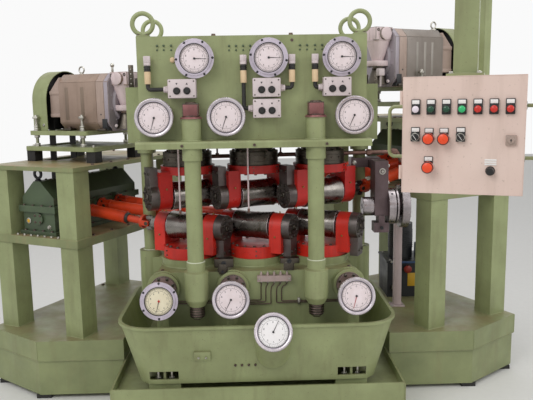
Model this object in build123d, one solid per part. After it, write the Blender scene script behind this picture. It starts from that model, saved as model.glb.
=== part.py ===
from build123d import *
import math
import os

# Pipe straightening machine with six crossed rolls, all sizes in millimetres.
# X runs right along the pass line, Y away from the operator, Z up from the floor.

# Rolls and their yokes
PASS_Z = 1048
ROLL_PITCH = 350
ROLL_ANGLE = 27
AXIS_DROP = 86
ROLL_R = 75
ROLL_WAIST_R = 71
ROLL_HALF = 105
JOURNAL_R = 30
JOURNAL_FIT = 0.05
ARM_IN = 114
ARM_T = 68
ARM_R = 70
CAP_T = 44
FAR_CAP_T = 16
YOKE_PLATE_R = 142
YOKE_PLATE_T = 60
UPPER_PLATE_T = 42
SEAT_Z = 805
LIFT_PLATE_T = 70
LIFT_R = 128

# Columns and crosshead
COL_R = 40
STUD_R = 28
FRONT_COL_X = 298
FRONT_COL_Y = -305
REAR_COL_X = 596
REAR_COL_Y = 214
REAR_COL_R = 35
COL_FIT = 0.3
HEAD_Z0 = 1400
HEAD_Z1 = HEAD_Z0 + 529
HEAD_HALF = 550
HEAD_FRONT = -262
HEAD_BACK = 130
FLANGE_T = 36
FLANGE_HALF = 561
FLANGE_FRONT = -360
FLANGE_BACK = 295
REAR_BEAM_HALF = 682
REAR_BEAM_Z1 = HEAD_Z0 + 300
PLATE_T = 25
BOSS_R = 46
BOSS_Z1 = HEAD_Z0 + 143
COLLAR_R = 48
COLLAR_Z0 = HEAD_Z0 - 59
NUT_SIDE = 72

# Bed casting
DECK_Z = 765
BED_Z0 = 322
BED_HALF = 500
BED_FRONT = -225
BED_BACK = 235
BED_WALL = 40
SEAT_R = 152
SOCKET_R = 60
SOCKET_Z1 = 840
SOCKET_Z0 = 617
REAR_FOOT_Z = 500
WORM_X = (-470, -120, 470)
WORM_Z = 690
WORM_R = 80
WORM_FRONT = -250
WORM_CAP_T = 14

# Oil tray and drip tray
DRIP_HALF = 735
DRIP_FRONT = -385
DRIP_BACK = 460
DRIP_H = 215
DRIP_FLOOR = 170
SHEET = 10
TRAY_Z0 = 226
TRAY_Z1 = 539
TRAY_WALL = 12
TRAY_FOOT = (600, -350, 415, 90)
TRAY_RIM = (700, -405, 440, 170)

# Dials
DIAL_R = 92
DIAL_FACE_R = 67
DIAL_T = 60

# Drive stands, in their own turned frame
STAND_ANGLE = 27
LEG = 120
LEG_T = 8
STAND_U0 = -1466
STAND_U1 = -866
STAND_V0 = -416
STAND_V1 = 634
PLINTH_Z0 = 22
PLINTH_SEAM = 221
PLINTH_TOP = 334
PLINTH_FRONT = -8
PLINTH_RIM = 20
PLINTH_STEP = 320
PLINTH_CORNER_X = -1210
PLINTH_CORNER_V = -478
FOOT_SIDE = 80
CABLE_POST = (884, 470)
MID_TOP = 886
MID_T = 46
UPPER_TOP = 1281
UPPER_T = 24
TABLE_LIP = 8
RIGHT_RISE = 226

# Gearboxes, cardan shafts and motors
GEAR_U0 = -1318
GEAR_U1 = -1051
GEAR_V0 = -359
GEAR_V1 = 381
GEAR_H = 304
GEAR_SLOPE = 92
GEAR_OUT = 130
GEAR_IN = 105
CARDAN_R = 33
JOINT_U = 62
FLANGE_R = 40
MOTOR_V = 48
MOTOR_U0 = -1284
MOTOR_NOSE = 75
MOTOR_U1 = -850
BLOWER = (-800, -20)
BLOWER_R = 60
BELT_U = -1348
BELT_W = 44
PULLEY_W = 52
MOTOR_AXIS_Z = UPPER_TOP + 341
MOTOR_SIDE = 322
MOTOR_CHAMFER = 46
GUARD_R = 178
GUARD_W = 108
GUARD_RISE = 11
SHAFT_R = 21
RUBBER_H = 64
RUBBER_SIDE = 62
SLIDE_LOW = (-1434, -919, 230)
SLIDE_HIGH = (-1408, -976, 215)
SLIDE_SCREW_U = (-1364, -1016)
SLIDE_SCREW_V = 196

# Outlet guide
BORE_R = 16
HUB = (579, 822, 50)
GUIDE_DISCS = [(708, 745, 96), (751, 761, 96), (775, 815, 116)]
GUIDE_BAR = (638, 708)
GUIDE_ARM_Z = PASS_Z + 194

# Control cabinet on its arm
CAB_X = 698
CAB_Y = -1240
CAB_Z = 1497
CAB_TURN = -21.9
CAB_SIDE = 400
CAB_D = 200
CAB_SHEET = 2
DOOR_T = 16
HINGE_R = 5.5
HINGE_X = -CAB_SIDE / 2 - HINGE_R - 1
HINGE_Y = DOOR_T / 2 - 1
HINGE_H = 24
HINGE_Z = (-130, 130)
PIN_R = 2.5
DROP_SIDE = 80
MAST_SIDE = 50
TUBE_T = 6
BOOM_Z = 2350
MAST_U = -1389
MAST_V = -259
LAMP_X = (-155, -104, -53, -2, 49, 100, 151)
LAMP_Z = 90
MUSHROOMS = [(-109, -10), (-59, -10), (-109, -108)]
SELECTOR_X = (-155, -4)
LOCK_X = 157
KNOB = (95, -118)


def block(x0, x1, y0, y1, z0, z1):
    # A box from its two corners.
    size = Box(x1 - x0, y1 - y0, z1 - z0)
    return Pos((x0 + x1) / 2, (y0 + y1) / 2, (z0 + z1) / 2) * size


def disc(x, y, z0, z1, r):
    # An upright cylinder.
    return Pos(x, y, (z0 + z1) / 2) * Cylinder(r, z1 - z0)


def rod_x(x0, x1, y, z, r):
    # A cylinder lying along X.
    return Pos((x0 + x1) / 2, y, z) * Rot(0, 90, 0) * Cylinder(r, x1 - x0)


def rod_y(x, y0, y1, z, r):
    # A cylinder lying along Y.
    return Pos(x, (y0 + y1) / 2, z) * Rot(90, 0, 0) * Cylinder(r, y1 - y0)


def turned(points):
    # A solid of revolution about local X from its (x, radius) outline.
    outline = [(points[0][0], 0)] + list(points) + [(points[-1][0], 0)]
    face = make_face(Polyline(*outline, close=True))
    return revolve(face, Axis.X)


def tube(points, bend, r):
    # A bent pipe through its corner points, each corner an arc of radius bend.
    corners = [Vector(*p) for p in points]
    edges = []
    last = corners[0]
    for before, corner, after in zip(corners, corners[1:], corners[2:]):
        inward, outward = (before - corner).normalized(), (after - corner).normalized()
        half = math.radians(inward.get_angle(outward)) / 2
        reach = bend / math.tan(half)
        centre = corner + (inward + outward).normalized() * (bend / math.sin(half))
        middle = centre + (corner - centre).normalized() * bend
        start, end = corner + inward * reach, corner + outward * reach
        edges.append(Line(last, start))
        edges.append(ThreePointArc(start, middle, end))
        last = end
    edges.append(Line(last, corners[-1]))
    route = Wire(edges)
    first = corners[1] - corners[0]
    return sweep(Plane(origin=corners[0], z_dir=first) * Circle(r), path=route)


def stand_place(u, v, z):
    # A point of the left stand's turned frame in machine coordinates.
    c, s = math.cos(math.radians(STAND_ANGLE)), math.sin(math.radians(STAND_ANGLE))
    return (u * c + v * s, -u * s + v * c, z)


def left_side(shape):
    # Turns what is drawn in the stand frame to its place on the left.
    return Rot(0, 0, -STAND_ANGLE) * shape


def right_side(shape, rise=0):
    # The mirrored stand on the right, raised where it drives the upper rolls.
    return Pos(0, 0, rise) * mirror(left_side(shape), Plane.YZ)


def roll_frame(index, upper):
    # Location of a roll: local X runs along its axis to the near end.
    x = (index - 1) * ROLL_PITCH
    lower = Pos(x, 0, 0) * Rot(0, 0, -ROLL_ANGLE) * Pos(0, 0, -AXIS_DROP)
    if upper:
        flip = Pos(2 * x, 0, 0)
        return Pos(0, 0, PASS_Z) * flip * Rot(0, 180, 0) * lower
    return Pos(0, 0, PASS_Z) * lower


NAMES = ["left", "middle", "right"]


YOKE_FOOT = SEAT_Z - (PASS_Z - AXIS_DROP)


def yoke(plate_t):
    # Turntable plate with two bearing arms, round over the roll axis.
    bottom = YOKE_FOOT
    top = bottom + plate_t
    plate = Pos(0, 0, (bottom + top) / 2) * Cylinder(YOKE_PLATE_R, plate_t)
    span = block(-ARM_IN - ARM_T, ARM_IN + ARM_T, -62, 62, bottom + 24, top)
    body = plate + span
    for side in (-1, 1):
        mid = side * (ARM_IN + ARM_T / 2)
        arm = block(mid - ARM_T / 2, mid + ARM_T / 2, -ARM_R, ARM_R, bottom + 24, 0)
        head = rod_x(mid - ARM_T / 2, mid + ARM_T / 2, 0, 0, ARM_R)
        body = body + arm + head
    bore = rod_x(-ARM_IN - ARM_T - 1, ARM_IN + ARM_T + 1, 0, 0, JOURNAL_R + JOURNAL_FIT)
    trough = rod_x(-ARM_IN, ARM_IN, 0, 0, ROLL_R + 8)
    return body - bore - trough


def near_cap():
    # Closed bearing cap with a square foot on the near arm.
    x0 = ARM_IN + ARM_T
    foot = block(x0, x0 + CAP_T, -40, 40, YOKE_FOOT + 2, 0)
    cap = rod_x(x0, x0 + CAP_T, 0, 0, ARM_R)
    inside = rod_x(x0 - 1, x0 + CAP_T - 14, 0, 0, JOURNAL_R + 5)
    return cap + foot - inside


def far_cap():
    # Ring cover on the far arm with the journal running through it.
    x0 = ARM_IN + ARM_T
    ring = rod_x(-x0 - FAR_CAP_T, -x0, 0, 0, 46)
    return ring - rod_x(-x0 - FAR_CAP_T - 1, -x0 + 1, 0, 0, JOURNAL_R + 5)


def fork(center_x, towards, ear_axis):
    # Fork of a universal joint: flange ring, web and two ears around its centre.
    base0 = center_x - towards * 30
    base1 = center_x - towards * 48
    lo, hi = min(base0, base1), max(base0, base1)
    web = rod_x(lo, hi, 0, 0, 38)
    ears = block(min(base0, center_x + towards * 13), max(base0, center_x + towards * 13),
                 -14, 14, -37, 37)
    if ear_axis == "y":
        ears = Rot(90, 0, 0) * ears
    gap = rod_x(center_x - 30, center_x + 30, 0, 0, 24)
    return web + (ears - gap)


JOINT_X = -(ARM_IN + ARM_T + FAR_CAP_T + JOINT_U)


def roll():
    # Concave roll, journals, coupling flange and fork with the joint cross.
    end = ARM_IN + ARM_T
    face = -(end + FAR_CAP_T + 6)
    steps = 6
    barrel = []
    for i in range(steps + 1):
        x = -ROLL_HALF + 2 * ROLL_HALF * i / steps
        sag = (ROLL_R - ROLL_WAIST_R) * (1 - (x / ROLL_HALF) ** 2)
        barrel.append((x, ROLL_R - sag))
    outline = [(face - 12, FLANGE_R), (face, FLANGE_R), (face, JOURNAL_R), (-ROLL_HALF, JOURNAL_R)]
    outline += barrel
    outline += [(ROLL_HALF, JOURNAL_R), (end + CAP_T - 20, JOURNAL_R)]
    cross = Pos(JOINT_X, 0, 0) * Sphere(15) + block(JOINT_X - 8, JOINT_X + 8, -8, 8, -26, 26)
    return turned(outline) + fork(JOINT_X, -1, "z") + cross


def cardan_points(index, upper):
    # Centre of the roll-side joint and the point where the shaft meets the gearbox.
    c, s = math.cos(math.radians(ROLL_ANGLE)), math.sin(math.radians(ROLL_ANGLE))
    side = 1 if upper else -1
    x = (index - 1) * ROLL_PITCH
    z = PASS_Z + side * AXIS_DROP
    along = -JOINT_X
    near = (x + side * along * c, along * s, z)
    out_z = MID_TOP + GEAR_OUT + (RIGHT_RISE if upper else 0)
    far = stand_place(GEAR_U1, -side * x * s, out_z)
    if upper:
        far = (-far[0], far[1], far[2])
    return near, far


def cardan(index, upper):
    # Cardan shaft in its own frame, local X towards the roll, origin at the joint.
    near, far = cardan_points(index, upper)
    length = (Vector(*near) - Vector(*far)).length
    spline_end = -48 - 0.22 * length
    spline = rod_x(spline_end, -48, 0, 0, CARDAN_R * 0.62)
    tail = -length
    pipe = rod_x(tail + 96, spline_end, 0, 0, CARDAN_R)
    neck = rod_x(tail + 14, tail + 96, 0, 0, 22)
    ears = block(tail + 38, tail + 84, -15, 15, -34, 34) + block(tail + 38, tail + 84, -34, 34, -15, 15)
    flange = rod_x(tail + 18, tail + 34, 0, 0, FLANGE_R)
    stub = rod_x(tail - 46, tail + 18, 0, 0, 20)
    return fork(0, 1, "y") + spline + pipe + neck + ears + flange + stub


def cardan_frame(index, upper):
    # Plane of a cardan shaft: origin at the roll-side joint, X pointing to the roll.
    near, far = cardan_points(index, upper)
    direction = Vector(*near) - Vector(*far)
    return Plane(origin=near, x_dir=direction, z_dir=direction.cross(Vector(0, 0, 1)).cross(direction))


def shaft_hole(index, upper, r, start, end):
    # Cylinder round a cardan shaft between two distances past the gearbox face.
    plane = cardan_frame(index, upper)
    near, far = cardan_points(index, upper)
    length = (Vector(*near) - Vector(*far)).length
    return plane * rod_x(-length - end, -length - start, 0, 0, r)


def gearbox_housing():
    # Split gearbox housing in the stand frame: sloped roof, split flange, foot and end cover.
    z0, z1 = MID_TOP, MID_TOP + GEAR_H
    u0, u1 = GEAR_U0 + 18, GEAR_U1 - 18
    split = z0 + 148
    shoulder = z1 - GEAR_SLOPE
    section = Polygon((u0, z0 + 22), (u1, z0 + 22), (u1, shoulder), (u1 - GEAR_SLOPE, z1),
                      (u0 + GEAR_SLOPE, z1), (u0, shoulder), align=None)
    body = Pos(0, GEAR_V1, 0) * extrude(Plane.XZ * section, GEAR_V1 - GEAR_V0)
    flange = block(GEAR_U0, GEAR_U1, GEAR_V0 - 16, GEAR_V1 + 16, split - 18, split + 18)
    foot = block(GEAR_U0, GEAR_U1, GEAR_V0 - 16, GEAR_V1 + 16, z0, z0 + 22)
    cover = rod_y((GEAR_U0 + GEAR_U1) / 2, GEAR_V0 - 12, GEAR_V0 + 4, z0 + 92, 34)
    cavity = block(GEAR_U0 + 48, GEAR_U1 - 48, GEAR_V0 + 30, GEAR_V1 - 30, z0 + 50, shoulder - 10)
    return body + flange + foot + cover - cavity


def gearbox(upper):
    # Housing on its stand with three output bosses bored along the cardan shafts.
    shape = right_side(gearbox_housing(), RIGHT_RISE) if upper else left_side(gearbox_housing())
    for index in range(3):
        shape = shape + shaft_hole(index, upper, 48, -12, 40)
    for index in range(3):
        shape = shape - shaft_hole(index, upper, 20 + JOURNAL_FIT, -20, 60)
    return shape


def drip_tray():
    # Low welded tray standing on the floor, a closed box with a raised lip.
    outer = block(-DRIP_HALF, DRIP_HALF, DRIP_FRONT, DRIP_BACK, 0, DRIP_H)
    inside = (-DRIP_HALF + SHEET, DRIP_HALF - SHEET, DRIP_FRONT + SHEET, DRIP_BACK - SHEET)
    return outer - block(*inside, DRIP_FLOOR, DRIP_H + 1) - block(*inside, SHEET, DRIP_FLOOR - SHEET)


def round_box(dims, z0, z1, grow=0):
    # Straight block with round corners from half width, front, back and radius.
    half, front, back, r = dims
    face = RectangleRounded(2 * (half + grow), back - front + 2 * grow, r + grow)
    return Pos(0, (front + back) / 2, z0) * extrude(face, z1 - z0)


def taper_box(foot, rim, z0, z1, grow=0):
    # Tapered tub body between two rounded rectangles.
    low = RectangleRounded(2 * (foot[0] + grow), foot[2] - foot[1] + 2 * grow, foot[3] + grow)
    high = RectangleRounded(2 * (rim[0] + grow), rim[2] - rim[1] + 2 * grow, rim[3] + grow)
    low = Pos(0, (foot[1] + foot[2]) / 2, z0) * low
    high = Pos(0, (rim[1] + rim[2]) / 2, z1) * high
    return loft([low, high])


def oil_tray():
    # Deep tapered tub with a rolled rim, skirt windows, feet and a dial boss.
    outer = taper_box(TRAY_FOOT, TRAY_RIM, TRAY_Z0, TRAY_Z1)
    inner = taper_box(TRAY_FOOT, TRAY_RIM, TRAY_Z0, TRAY_Z1, -TRAY_WALL)
    floor_cut = block(-900, 900, -600, 600, BED_Z0 - TRAY_WALL, BED_Z0)
    shape = outer - (inner - floor_cut)
    rim = round_box(TRAY_RIM, TRAY_Z1 - 14, TRAY_Z1, 5)
    rim = rim - round_box(TRAY_RIM, TRAY_Z1 - 20, TRAY_Z1 + 1, -TRAY_WALL)
    shape = shape + rim
    for x in (-470, 470):
        shape = shape - block(x - 72, x + 72, TRAY_FOOT[1] - 60, TRAY_FOOT[1] + 60, 250, 296)
        for y in (TRAY_FOOT[1] + 40, TRAY_FOOT[2] - 40):
            shape = shape + block(x - 80, x + 80, y - 30, y + 30, DRIP_FLOOR, TRAY_Z0 + 10)
            shape = shape + block(x - 6, x + 6, y - 25, y + 25, TRAY_Z0, BED_Z0 - 6)
    for y in (-150, 230):
        shape = shape + block(-540, 540, y - 8, y + 8, TRAY_Z0, BED_Z0 - 6)
    for x in (-300, 300):
        for y in (-150, 230):
            shape = shape + block(x - 60, x + 60, y - 40, y + 40, DRIP_FLOOR, TRAY_Z0 + 4)
    front = dial_place(TRAY_DIAL) * Circle(DIAL_R - 5)
    boss = loft([front, Pos(0, *TRAY_BOSS_RUN) * front])
    return shape + (boss - inner - block(-200, 300, TRAY_RIM[1] + TRAY_WALL, 600, TRAY_Z1, TRAY_Z1 + 200))


# Dials: centre of the back of each case, and the tilt of the face
TOP_DIALS = [(-273, HEAD_FRONT, 1821, 0), (76, HEAD_FRONT, 1821, 0), (422, HEAD_FRONT, 1821, 0)]
LOW_DIALS = [(-473, HEAD_FRONT, 1548, 0), (-131, HEAD_FRONT, 1547, 0), (483, HEAD_FRONT, 1546, 0)]
BASE_DIALS = [(-474, -352, 664, 10), (-128, -318, 652, 10), (487, -330, 660, 10)]
TRAY_DIAL = (73, -436, 512, 24)
TRAY_BOSS_RUN = (75, -119)
POST_R = 28
POST_Y = WORM_FRONT - WORM_CAP_T - POST_R - 1
HOUSING_R = DIAL_R - 18
HOUSING_L = 100


def dial_place(dial):
    # Location whose local Z is the dial axis, pointing to the operator.
    x, y, z, tilt = dial
    return Pos(x, y, z) * Rot(90 - tilt, 0, 0)


def dial_case(kind):
    # Round case standing on local Z = 0: flanged, or with a polished bezel.
    rim = DIAL_T - 22
    if kind == "flange":
        case = Pos(0, 0, rim / 2) * Cylinder(DIAL_R - 12, rim)
        case = case + Pos(0, 0, rim + 7) * Cylinder(DIAL_R, 14)
        case = case + Pos(0, 0, rim + 18) * Cylinder(DIAL_R - 13, 8)
        return case - Pos(0, 0, DIAL_T) * Cylinder(DIAL_FACE_R, 16)
    case = Pos(0, 0, rim / 2) * Cylinder(DIAL_R - 6, rim) + Pos(0, 0, rim + 11) * Cylinder(DIAL_R, 22)
    return case - Pos(0, 0, DIAL_T) * Cylinder(DIAL_FACE_R + 9, 16)


def crosshead():
    # Welded crosshead box with base flange, rear beam, column bosses and collars.
    box = block(-HEAD_HALF, HEAD_HALF, HEAD_FRONT, HEAD_BACK, HEAD_Z0, HEAD_Z1)
    flange = block(-FLANGE_HALF, FLANGE_HALF, FLANGE_FRONT, FLANGE_BACK, HEAD_Z0, HEAD_Z0 + FLANGE_T)
    beam = block(-REAR_BEAM_HALF, REAR_BEAM_HALF, HEAD_BACK, FLANGE_BACK, HEAD_Z0, REAR_BEAM_Z1)
    shape = box + flange + beam
    shape = shape - block(-HEAD_HALF + PLATE_T, HEAD_HALF - PLATE_T, HEAD_FRONT + PLATE_T,
                          HEAD_BACK - PLATE_T, HEAD_Z0 + FLANGE_T, HEAD_Z1 - 20)
    shape = shape - block(-500, 500, HEAD_BACK + PLATE_T, FLANGE_BACK - PLATE_T,
                          HEAD_Z0 + FLANGE_T, REAR_BEAM_Z1 - 20)
    edge = shape.edges().filter_by(Axis.X).filter_by_position(Axis.Y, FLANGE_FRONT - 1, FLANGE_FRONT + 1)
    shape = fillet(edge.filter_by_position(Axis.Z, HEAD_Z0 + FLANGE_T - 1, HEAD_Z0 + FLANGE_T + 1), 12)
    for x in (-FRONT_COL_X, FRONT_COL_X):
        shape = shape + disc(x, FRONT_COL_Y, HEAD_Z0, BOSS_Z1, BOSS_R)
        shape = shape + disc(x, FRONT_COL_Y, COLLAR_Z0, HEAD_Z0, COLLAR_R)
        shape = shape - disc(x, FRONT_COL_Y, COLLAR_Z0 - 1, BOSS_Z1 + 1, COL_R + COL_FIT)
    for x in (-REAR_COL_X, REAR_COL_X):
        shape = shape + disc(x, REAR_COL_Y, COLLAR_Z0, HEAD_Z0, REAR_COL_R + 16)
        shape = shape - disc(x, REAR_COL_Y, COLLAR_Z0 - 1, REAR_BEAM_Z1 + 1, REAR_COL_R + COL_FIT)
    return shape


def columns():
    # Four tie columns with thinner studs for the nuts.
    parts = []
    for x in (-FRONT_COL_X, FRONT_COL_X):
        shaft = disc(x, FRONT_COL_Y, SOCKET_Z0, BOSS_Z1, COL_R)
        parts.append(shaft + disc(x, FRONT_COL_Y, SOCKET_Z0 - 62, BOSS_Z1 + 68, STUD_R))
    for x in (-REAR_COL_X, REAR_COL_X):
        shaft = disc(x, REAR_COL_Y, REAR_FOOT_Z, REAR_BEAM_Z1, REAR_COL_R)
        parts.append(shaft + disc(x, REAR_COL_Y, REAR_FOOT_Z, REAR_BEAM_Z1 + 60, STUD_R))
    return Compound(children=parts)


def column_nuts():
    # Square nuts on washers above the crosshead and round nuts under the bed.
    parts = []
    for x in (-FRONT_COL_X, FRONT_COL_X):
        washer = disc(x, FRONT_COL_Y, BOSS_Z1, BOSS_Z1 + 12, 42)
        nut = block(x - NUT_SIDE / 2, x + NUT_SIDE / 2, FRONT_COL_Y - NUT_SIDE / 2,
                    FRONT_COL_Y + NUT_SIDE / 2, BOSS_Z1 + 12, BOSS_Z1 + 70)
        hole = disc(x, FRONT_COL_Y, BOSS_Z1 - 1, BOSS_Z1 + 80, STUD_R + COL_FIT)
        parts.append(washer + nut - hole)
        low = disc(x, FRONT_COL_Y, SOCKET_Z0 - 56, SOCKET_Z0, 37)
        parts.append(low - disc(x, FRONT_COL_Y, SOCKET_Z0 - 70, SOCKET_Z0 + 1, STUD_R + COL_FIT))
    for x in (-REAR_COL_X, REAR_COL_X):
        nut = disc(x, REAR_COL_Y, REAR_BEAM_Z1, REAR_BEAM_Z1 + 50, 48)
        parts.append(nut - disc(x, REAR_COL_Y, REAR_BEAM_Z1 - 1, REAR_BEAM_Z1 + 60, STUD_R + COL_FIT))
    return Compound(children=parts)


def socket(x, y):
    # Stepped column socket, cone ended.
    outline = [(SOCKET_Z0, 42), (SOCKET_Z0 + 34, SOCKET_R), (790, SOCKET_R),
               (798, 46), (SOCKET_Z1, 46)]
    return Pos(x, y, 0) * Rot(0, -90, 0) * turned(outline)


def bed():
    # Bed casting: hollow box, turntable seats, column sockets and worm bosses.
    body = block(-BED_HALF, BED_HALF, BED_FRONT, BED_BACK, BED_Z0, DECK_Z)
    hollow = block(-BED_HALF + BED_WALL, BED_HALF - BED_WALL, BED_FRONT + BED_WALL,
                   BED_BACK - BED_WALL, BED_Z0 + BED_WALL, DECK_Z - 60)
    beam = block(-REAR_COL_X - 30, REAR_COL_X + 30, REAR_COL_Y - 60, REAR_COL_Y + 50, 480, 755)
    shape = body + beam
    for i in range(3):
        shape = shape + disc((i - 1) * ROLL_PITCH, 0, DECK_Z, SEAT_Z, SEAT_R)
    for x in WORM_X:
        shape = shape + rod_y(x, WORM_FRONT, BED_FRONT + 60, WORM_Z, WORM_R)
    for x in (-FRONT_COL_X, FRONT_COL_X):
        shape = shape + block(x - 46, x + 46, FRONT_COL_Y, BED_FRONT, 650, 760) + socket(x, FRONT_COL_Y)
    for x in (-REAR_COL_X, REAR_COL_X):
        shape = shape + disc(x, REAR_COL_Y, REAR_FOOT_Z - 20, 790, 62)
    shape = shape - hollow
    for x in (-FRONT_COL_X, FRONT_COL_X):
        shape = shape - disc(x, FRONT_COL_Y, SOCKET_Z0 - 1, SOCKET_Z1 + 1, COL_R + COL_FIT)
    for x in (-REAR_COL_X, REAR_COL_X):
        shape = shape - disc(x, REAR_COL_Y, REAR_FOOT_Z, 800, REAR_COL_R + COL_FIT)
    return shape


def worm_caps():
    # Dark screwed covers on the worm bosses.
    parts = [rod_y(x, WORM_FRONT - WORM_CAP_T, WORM_FRONT, WORM_Z, 66) for x in WORM_X]
    return Compound(children=parts)


def dial_mounts():
    # Round housings, necks and pedestals that carry the base dials over the oil tray.
    parts = []
    back = WORM_FRONT - WORM_CAP_T
    for x, y, z, tilt in BASE_DIALS:
        housing = dial_place((x, y, z, tilt)) * Pos(0, 0, -HOUSING_L / 2) * Cylinder(HOUSING_R, HOUSING_L)
        housing = housing - block(x - 200, x + 200, back, 0, 400, 900)
        post = disc(x, POST_Y, BED_Z0, z - 30, POST_R)
        neck = rod_y(x, POST_Y, back, WORM_Z - 10, 26)
        parts.append(housing + post + neck)
    return Compound(children=parts)


def lift_screws():
    # Dark turntables and screws between the crosshead and the upper yokes.
    parts = []
    top = 2 * PASS_Z - SEAT_Z
    for i in range(3):
        x = (i - 1) * ROLL_PITCH
        parts.append(disc(x, 0, top, top + LIFT_PLATE_T, LIFT_R) + disc(x, 0, top + LIFT_PLATE_T, HEAD_Z0, 100))
    return Compound(children=parts)


def lifting_eyes():
    # Four ring bolts on the crosshead corners.
    parts = []
    for x in (-521, 521):
        for y in (HEAD_FRONT + 40, HEAD_BACK - 34):
            ring = Pos(x, y, HEAD_Z1 + 62) * Rot(90, 0, 0) * Torus(49, 11)
            foot = disc(x, y, HEAD_Z1, HEAD_Z1 + 8, 34) + disc(x, y, HEAD_Z1, HEAD_Z1 + 12, 18)
            parts.append(ring + foot)
    return Compound(children=parts)


# Small control boxes: left edge and lower edge on the crosshead front
BOXES = [(-402, 1638), (-2, 1638), (-2, 1540), (334, 1638)]
BOX_W = 133
BOX_H = 89
BOX_D = 58
GLAND_Z = HEAD_Z0 + 316


def button_boxes():
    # Small control boxes on the crosshead front.
    parts = []
    for x, z in BOXES:
        case = block(x, x + BOX_W, HEAD_FRONT - BOX_D, HEAD_FRONT, z, z + BOX_H)
        parts.append(fillet(case.edges().filter_by(Axis.Y), 5))
    return Compound(children=parts)


def stand_legs(rise):
    # Square tube legs of one stand, below and above its middle table.
    legs = []
    spans = [(PLINTH_TOP, MID_TOP + rise - MID_T), (MID_TOP + rise, UPPER_TOP + rise - UPPER_T)]
    for z0, z1 in spans:
        for u in (STAND_U0, STAND_U1 - LEG):
            for v in (STAND_V0, STAND_V1 - LEG):
                leg = block(u, u + LEG, v, v + LEG, z0, z1)
                bore = block(u + LEG_T, u + LEG - LEG_T, v + LEG_T, v + LEG - LEG_T, z0 + LEG_T, z1 - LEG_T)
                legs.append(leg - bore)
    return legs


def stand_tables(rise):
    # Middle and upper table of one stand, the upper one notched for the belt.
    lip = TABLE_LIP
    size = (STAND_U0 - lip, STAND_U1 + lip, STAND_V0 - lip, STAND_V1 + lip)
    core = (STAND_U0 + LEG, STAND_U1 - LEG, STAND_V0 + LEG, STAND_V1 - LEG)
    zm, zu = MID_TOP + rise, UPPER_TOP + rise
    mid = block(*size, zm - MID_T, zm) - block(*core, zm - MID_T + 10, zm - 10)
    top = block(*size, zu - UPPER_T, zu) - notch(zu - 60, zu + 10)
    return [mid, top]


def plinth_outline():
    # Plan of the left plinth: straight front, chamfered corner, sides along the stand.
    u_out = STAND_U0 - PLINTH_RIM
    v_back = STAND_V1 + PLINTH_RIM
    far = stand_place(u_out, v_back, 0)
    side = stand_place(u_out, PLINTH_CORNER_V, 0)
    inner = stand_place(STAND_U1 + 60, v_back, 0)
    outline = [(-DRIP_HALF, PLINTH_FRONT), (PLINTH_CORNER_X, PLINTH_FRONT), (side[0], side[1]),
               (far[0], far[1]), (inner[0], inner[1]), (-DRIP_HALF, inner[1] - PLINTH_STEP)]
    return make_face(Polyline(*outline, close=True))


def plinth(right):
    # Closed welded plinth with a seam step, against the drip tray on its inner side.
    face = plinth_outline()
    shell = extrude(Pos(0, 0, PLINTH_SEAM) * face, PLINTH_TOP - PLINTH_SEAM)
    shell = shell + extrude(Pos(0, 0, PLINTH_Z0) * offset(face, -8), PLINTH_SEAM - PLINTH_Z0)
    shell = shell + block(-DRIP_HALF - 30, -DRIP_HALF, PLINTH_FRONT + 10, DRIP_BACK, PLINTH_Z0, PLINTH_SEAM)
    room = extrude(Pos(0, 0, PLINTH_Z0 + 8) * offset(face, -40), PLINTH_TOP - PLINTH_Z0 - 18)
    shape = shell - room
    if right:
        x, y = CABLE_POST
        top = MID_TOP + RIGHT_RISE - MID_T
        return mirror(shape, Plane.YZ) + block(x - 22, x + 22, y - 16, y + 16, PLINTH_TOP - 6, top)
    return shape


def plinth_feet():
    # Square foot blocks under the corners of both plinths.
    spots = []
    for corner in offset(plinth_outline(), -FOOT_SIDE / 2 - 12).vertices():
        if all(math.hypot(corner.X - x, corner.Y - y) > 2 * FOOT_SIDE for x, y in spots):
            spots.append((corner.X, corner.Y))
    half = FOOT_SIDE / 2
    feet = []
    for side in (-1, 1):
        for x, y in spots:
            feet.append(block(side * x - half, side * x + half, y - half, y + half, 0, PLINTH_Z0))
    return Compound(children=feet)


def blower(z):
    # Cooling blower on the motor's end: lower cone, flange, funnel and inlet box with its round mouth.
    u, v = BLOWER
    r = BLOWER_R
    low, top = z - MOTOR_SIDE / 2 + 11, z + MOTOR_SIDE / 2 + 6
    outline = [(low, r), (z - 60, r / 2), (z - 46, r / 2), (z - 46, r), (z - 18, r), (z - 18, r / 2), (z + 95, r + 6)]
    column = Pos(u, v, 0) * Rot(0, -90, 0) * turned(outline)
    box = block(MOTOR_U1 - 6, u + r, v - r, v + r, z + 95, top)
    mouth = rod_y(u, v - r - 14, v, (z + 95 + top) / 2, (top - z - 95) / 2 - 2)
    return column + box + mouth


def motor():
    # Chamfered square motor with a tapered nose, a flat end with its blower and the pulley shaft.
    z = MOTOR_AXIS_Z
    start = MOTOR_U0 + MOTOR_NOSE
    square = Rectangle(MOTOR_SIDE, MOTOR_SIDE)
    face = chamfer(square.vertices(), length=MOTOR_CHAMFER)
    body = Pos(start, MOTOR_V, z) * Rot(0, 90, 0) * extrude(face, MOTOR_U1 - start)
    nose = Pos(0, MOTOR_V, z) * turned([(MOTOR_U0, 78), (start, 150)])
    bell = Pos(0, MOTOR_V, z) * turned([(MOTOR_U1, 128), (MOTOR_U1 + 14, 118)])
    shaft = rod_x(BELT_U - 34, MOTOR_U0, MOTOR_V, z, SHAFT_R)
    return body + nose + bell + blower(z) + shaft


def notch(z0, z1):
    # Opening in tables and slide plates that the belt runs through.
    return block(BELT_U - 62, BELT_U + 62, MOTOR_V - 125, MOTOR_V + 125, z0, z1)


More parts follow.
